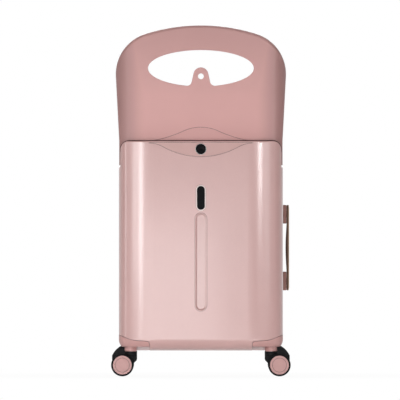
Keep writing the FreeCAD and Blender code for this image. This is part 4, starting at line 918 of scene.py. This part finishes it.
class SUITCASE_OT_straps(bpy.types.Operator):
    """Makes the webbing packing straps with their buckles and stitching"""
    bl_idname = "suitcase.straps"
    bl_label = "Packing Straps"

    def execute(self, context):
        low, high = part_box("packing_straps")
        band, thickness = 30 * MM, 1.2 * MM
        rows, stitch_step, stitch_rise = (6 * MM, 12 * MM), 5 * MM, 0.65 * MM
        mid_y = (low.y + high.y) / 2
        buckles, thread = bmesh.new(), bmesh.new()
        for name, z in (("low", low.z + band / 2), ("high", high.z - band / 2)):
            mesh = bmesh.new()
            place = (Matrix.Translation((0, mid_y, z)) @ Matrix.Rotation(QUARTER, 4, "X")
                     @ Matrix.Diagonal(((high.x - low.x) / 2, band / 2, 1, 1)))
            bmesh.ops.create_grid(mesh, x_segments=40, y_segments=4, size=1, matrix=place)
            tidy(mesh)
            paint_uv(mesh, lambda co, normal: (co.x, co.z))
            web = piece(f"packing_strap_{name}", mesh, "webbing", "rear_half")
            thicken(web, thickness)
            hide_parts("packing_straps")
            self.buckle(buckles, low.y, z, band)
            for x in [side * (high.x - row) for side in (-1, 1) for row in rows]:
                for k in range(-2, 3):
                    stitch(thread, Vector((x, mid_y - stitch_rise, z + k * stitch_step)),
                           Vector((0, 0, 1)), Vector((0, -1, 0)))
        sharpen(tidy(buckles), 40)
        piece("strap_buckles", buckles, "plastic", "rear_half")
        piece("strap_stitches", tidy(thread), "thread", "rear_half")
        return {"FINISHED"}

    @staticmethod
    def buckle(mesh, front, z, band):
        """A side-release buckle: socket, tongue with its bar, and the two catches in the sides."""
        long, thick, half = sizes().buckle_length, 6 * MM, band / 2 + 3 * MM
        x0, back, gap, inner = -long / 2, front - 0.1 * MM, 0.6 * MM, half - 1 * MM
        joint, edge, rim, sunk, least_area = x0 + 0.6 * long, 0.9 * MM, 3 * MM, 0.8 * MM, 2e-4

        def tops():
            near = [f for f in mesh.faces if abs(f.calc_center_median().z - z) < 2 * half]
            return [f for f in near if f.normal.y < -0.99]

        socket = slab(mesh, (x0, front - thick, z - half), (joint, back, z + half))
        bevel(mesh, along(socket, Y), 4 * MM, 3)
        tongue = slab(mesh, (joint + gap, front - 0.8 * thick, z - inner), (x0 + long, back, z + inner))
        bevel(mesh, along(tongue, Y), 3 * MM, 3)
        bevel(mesh, {e for f in tops() for e in f.edges}, edge, 2)
        windows = [f for f in tops() if f.calc_area() > least_area]
        bmesh.ops.inset_individual(mesh, faces=windows, thickness=rim, depth=0)
        bmesh.ops.inset_individual(mesh, faces=windows, thickness=sunk, depth=-sunk)
        start, end, proud = x0 + 8 * MM, x0 + 20 * MM, 1.6 * MM
        for low, high in ((z - half - proud, z - half), (z + half, z + half + proud)):
            catch = slab(mesh, (start, front - 0.75 * thick, low), (end, front - 0.25 * thick, high))
            bevel(mesh, along(catch, Y), 0.7 * MM, 2)


class SUITCASE_OT_hardware(bpy.types.Operator):
    """Finishes the case hinges and makes the cross-recess screws under the corners"""
    bl_idname = "suitcase.hardware"
    bl_label = "Hinges and Screws"

    def execute(self, context):
        dress("steel", "front_hinge_leaves", "rear_hinge_leaves", "case_hinge_pins")
        circle = 19.5 * MM
        for half in ("front", "rear"):
            mesh = bmesh.new()
            low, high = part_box(f"{half}_bracket_screws")
            for side in ("left", "right"):
                pin_low, pin_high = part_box(f"{half}_{side}_swivel_pin")
                pin = (pin_low + pin_high) / 2
                for quarter in range(4):
                    angle = (quarter + 0.5) * QUARTER
                    out = circle * Vector((cos(angle), sin(angle), 0))
                    self.screw(mesh, Vector((pin.x, pin.y, low.z)) + out, high.z - low.z)
            sharpen(tidy(mesh), 40)
            screws = piece(f"{half}_cross_screws", mesh, "steel", f"{half}_half")
            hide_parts(f"{half}_bracket_screws")
        return {"FINISHED"}

    @staticmethod
    def screw(mesh, foot, long):
        """One screw, head down: a disc with a sunk cross, whose rim is drawn up to the shank."""
        head, edge, deep, shank, dome = 3.5 * MM, 0.3 * MM, 2.2 * MM, 1.8 * MM, 0.93
        arm, slot, sunk_by = 1.9 * MM, 0.45 * MM, 1.2 * MM
        part = bmesh.new()
        bmesh.ops.create_circle(part, cap_ends=True, segments=20, radius=head)
        for axis in (Vector((1, 0, 0)), Vector((0, 1, 0))):
            for far in (-arm, -slot, slot, arm):
                cut(part, axis * far, axis, dist=1e-7)
        cross = [f for f in part.faces if min(abs(c) for c in f.calc_center_median()[:2]) < slot
                 and max(abs(c) for c in f.calc_center_median()[:2]) < arm]
        rim = [e for e in part.edges if e.is_boundary]
        sunk = bmesh.ops.extrude_face_region(part, geom=cross)["geom"]
        bmesh.ops.delete(part, geom=cross, context="FACES_ONLY")
        bmesh.ops.translate(part, verts=verts_in(sunk), vec=(0, 0, sunk_by))
        for radius, up in ((head, edge), (head, deep), (shank, deep), (shank, long)):
            grown = bmesh.ops.extrude_edge_only(part, edges=rim)["geom"]
            rim = edges_in(grown)
            for vert in set(verts_in(grown)):
                flat = Vector((vert.co.x, vert.co.y, 0)).normalized() * radius
                vert.co = (flat.x, flat.y, up)
        bmesh.ops.holes_fill(part, edges=rim)
        for vert in part.verts:
            if vert.co.z == 0 and vert.co.xy.length > head * 0.9:
                vert.co.xy *= dome
        bmesh.ops.translate(part, verts=part.verts, vec=foot)
        data = bpy.data.meshes.new("screw")
        part.to_mesh(data)
        part.free()
        mesh.from_mesh(data)
        bpy.data.meshes.remove(data)


class SUITCASE_OT_stage(bpy.types.Operator):
    """Makes the pale floor, the soft lights and the camera"""
    bl_idname = "suitcase.stage"
    bl_label = "Studio"

    AIM = (0, 0, 0.37)
    LAMPS = {
        "front_panel": ((-0.3, -2.2, 0.20), (0, 0, 0.20), (1.6, 0.5)),
        "high_panel": ((0, -2.2, 1.5), AIM, (1.2, 1.2)),
        "low_panel": ((-0.22, -1.60, 0.17), (-0.05, -0.13, 0.17), (0.65, 0.30)),
        "floor_strip": ((-0.05, -0.55, 0.035), (-0.05, -0.12, 0.07), (0.7, 0.04)),
        "left_strip": ((-1.32, -3.0, 0.60), AIM, (0.26, 0.9)),
        "left_far_strip": ((-1.75, -2.9, 0.60), AIM, (0.26, 0.9)),
        "right_strip": ((1.25, -3.0, 0.70), AIM, (0.12, 0.6)),
        "right_far_strip": ((1.75, -2.9, 0.60), AIM, (0.26, 0.8)),
        "side_panel": ((-2.4, -1.78, 0.40), AIM, (0.5, 1.2)),
        "back_panel": ((0, 2.4, 1.3), AIM, (1.4, 1.4)),
    }

    def execute(self, context):
        scene = context.scene
        stage = scene.suitcase_stage
        scene.view_settings.view_transform = "Standard"
        self.floor(stage)
        self.world(scene, stage)
        for name, (place, aim, size) in self.LAMPS.items():
            data = bpy.data.lights.new(name, "AREA")
            data.shape = "RECTANGLE"
            data.size, data.size_y = size
            data.energy = getattr(stage, name)
            lamp = bpy.data.objects.new(name, data)
            lamp.location = place
            lamp.rotation_euler = (Vector(aim) - Vector(place)).to_track_quat("-Z", "Y").to_euler()
            scene.collection.objects.link(lamp)
        camera = bpy.data.objects.new("camera", bpy.data.cameras.new("camera"))
        camera.data.lens = stage.lens
        camera.location = (stage.camera_x, -stage.camera_distance, stage.camera_height)
        camera.rotation_euler = (QUARTER, 0, 0)
        scene.collection.objects.link(camera)
        scene.camera = camera
        return {"FINISHED"}

    @staticmethod
    def floor(stage):
        """White paper that shows the shadow near the case and is plain white further off."""
        half_size = 30
        mesh = bmesh.new()
        bmesh.ops.create_grid(mesh, x_segments=2, y_segments=2, size=half_size)
        f = Finish("floor_paper", stage.floor, extra={"Base Color": (*stage.floor, 1), "Roughness": 0.9})
        path = f.add("ShaderNodeLightPath").outputs
        seen = f.maths("MAXIMUM", f.maths("MAXIMUM", path["Is Camera Ray"], path["Is Glossy Ray"]),
                       path["Is Transmission Ray"])
        away = f.add("ShaderNodeVectorMath", {0: f.place}, operation="LENGTH").outputs["Value"]
        white = f.span(away, stage.shine, 1, start=stage.white_from / 2, stop=stage.white_from)
        blend = f.add("ShaderNodeMixShader", {0: f.maths("MULTIPLY", seen, white), 1: f.shader.outputs[0],
                                              2: f.add("ShaderNodeEmission").outputs[0]})
        f.put(f.tree.nodes["Material Output"].inputs["Surface"], blend.outputs[0])
        sheet = placed("floor", mesh, f.material)

    @staticmethod
    def world(scene, stage):
        """White for the camera, soft light on the case, and a dimmer front for its gloss."""
        scene.world = bpy.data.worlds.new("studio")
        scene.world.use_nodes = True
        w = Nodes(scene.world.node_tree)
        path = w.add("ShaderNodeLightPath").outputs
        depth = w.axis(w.add("ShaderNodeTexCoord").outputs["Generated"], "Y")
        studio = w.span(depth, stage.front_side, 1.0, start=-0.3, stop=0.3)
        mirrored = w.maths("MAXIMUM", path["Is Glossy Ray"], path["Is Transmission Ray"])
        level = stage.ambient
        for ray, strength in ((mirrored, studio), (path["Is Camera Ray"], 1.0)):
            level = w.add("ShaderNodeMix", {"Factor": ray, "A": level, "B": strength}).outputs["Result"]
        background = w.tree.nodes["Background"].inputs
        w.put(background["Strength"], level)
        w.put(background["Color"], (1, 1, 1, 1))


GROUPS = (SuitcaseColours, SuitcaseSizes, SuitcaseStage)
STEPS = (SUITCASE_OT_shells, SUITCASE_OT_seat_lid, SUITCASE_OT_front_trim, SUITCASE_OT_lip_shadow_seal,
         SUITCASE_OT_casters, SUITCASE_OT_trolley, SUITCASE_OT_side_handle, SUITCASE_OT_zip,
         SUITCASE_OT_lining, SUITCASE_OT_straps, SUITCASE_OT_hardware, SUITCASE_OT_stage)


class SUITCASE_PT_panel(bpy.types.Panel):
    """The suitcase's steps, sizes and colours"""
    bl_idname = "SUITCASE_PT_panel"
    bl_label = "Ride-on Suitcase"
    bl_space_type = "VIEW_3D"
    bl_region_type = "UI"
    bl_category = "Suitcase"

    def draw(self, context):
        scene = context.scene
        for step in STEPS:
            self.layout.operator(step.bl_idname)
        for group in (scene.suitcase_sizes, scene.suitcase_colours, scene.suitcase_stage):
            box = self.layout.box()
            for name in group.__annotations__:
                box.prop(group, name)


CLASSES = (*GROUPS, *STEPS, SUITCASE_PT_panel)


def register():
    for each in CLASSES:
        bpy.utils.register_class(each)
    bpy.types.Scene.suitcase_colours = PointerProperty(type=SuitcaseColours)
    bpy.types.Scene.suitcase_sizes = PointerProperty(type=SuitcaseSizes)
    bpy.types.Scene.suitcase_stage = PointerProperty(type=SuitcaseStage)


def unregister():
    del bpy.types.Scene.suitcase_stage
    del bpy.types.Scene.suitcase_sizes
    del bpy.types.Scene.suitcase_colours
    for each in reversed(CLASSES):
        bpy.utils.unregister_class(each)


def main():
    register()
    for step in STEPS:
        group, name = step.bl_idname.split(".")
        getattr(getattr(bpy.ops, group), name)()


if __name__ == "__main__":
    main()
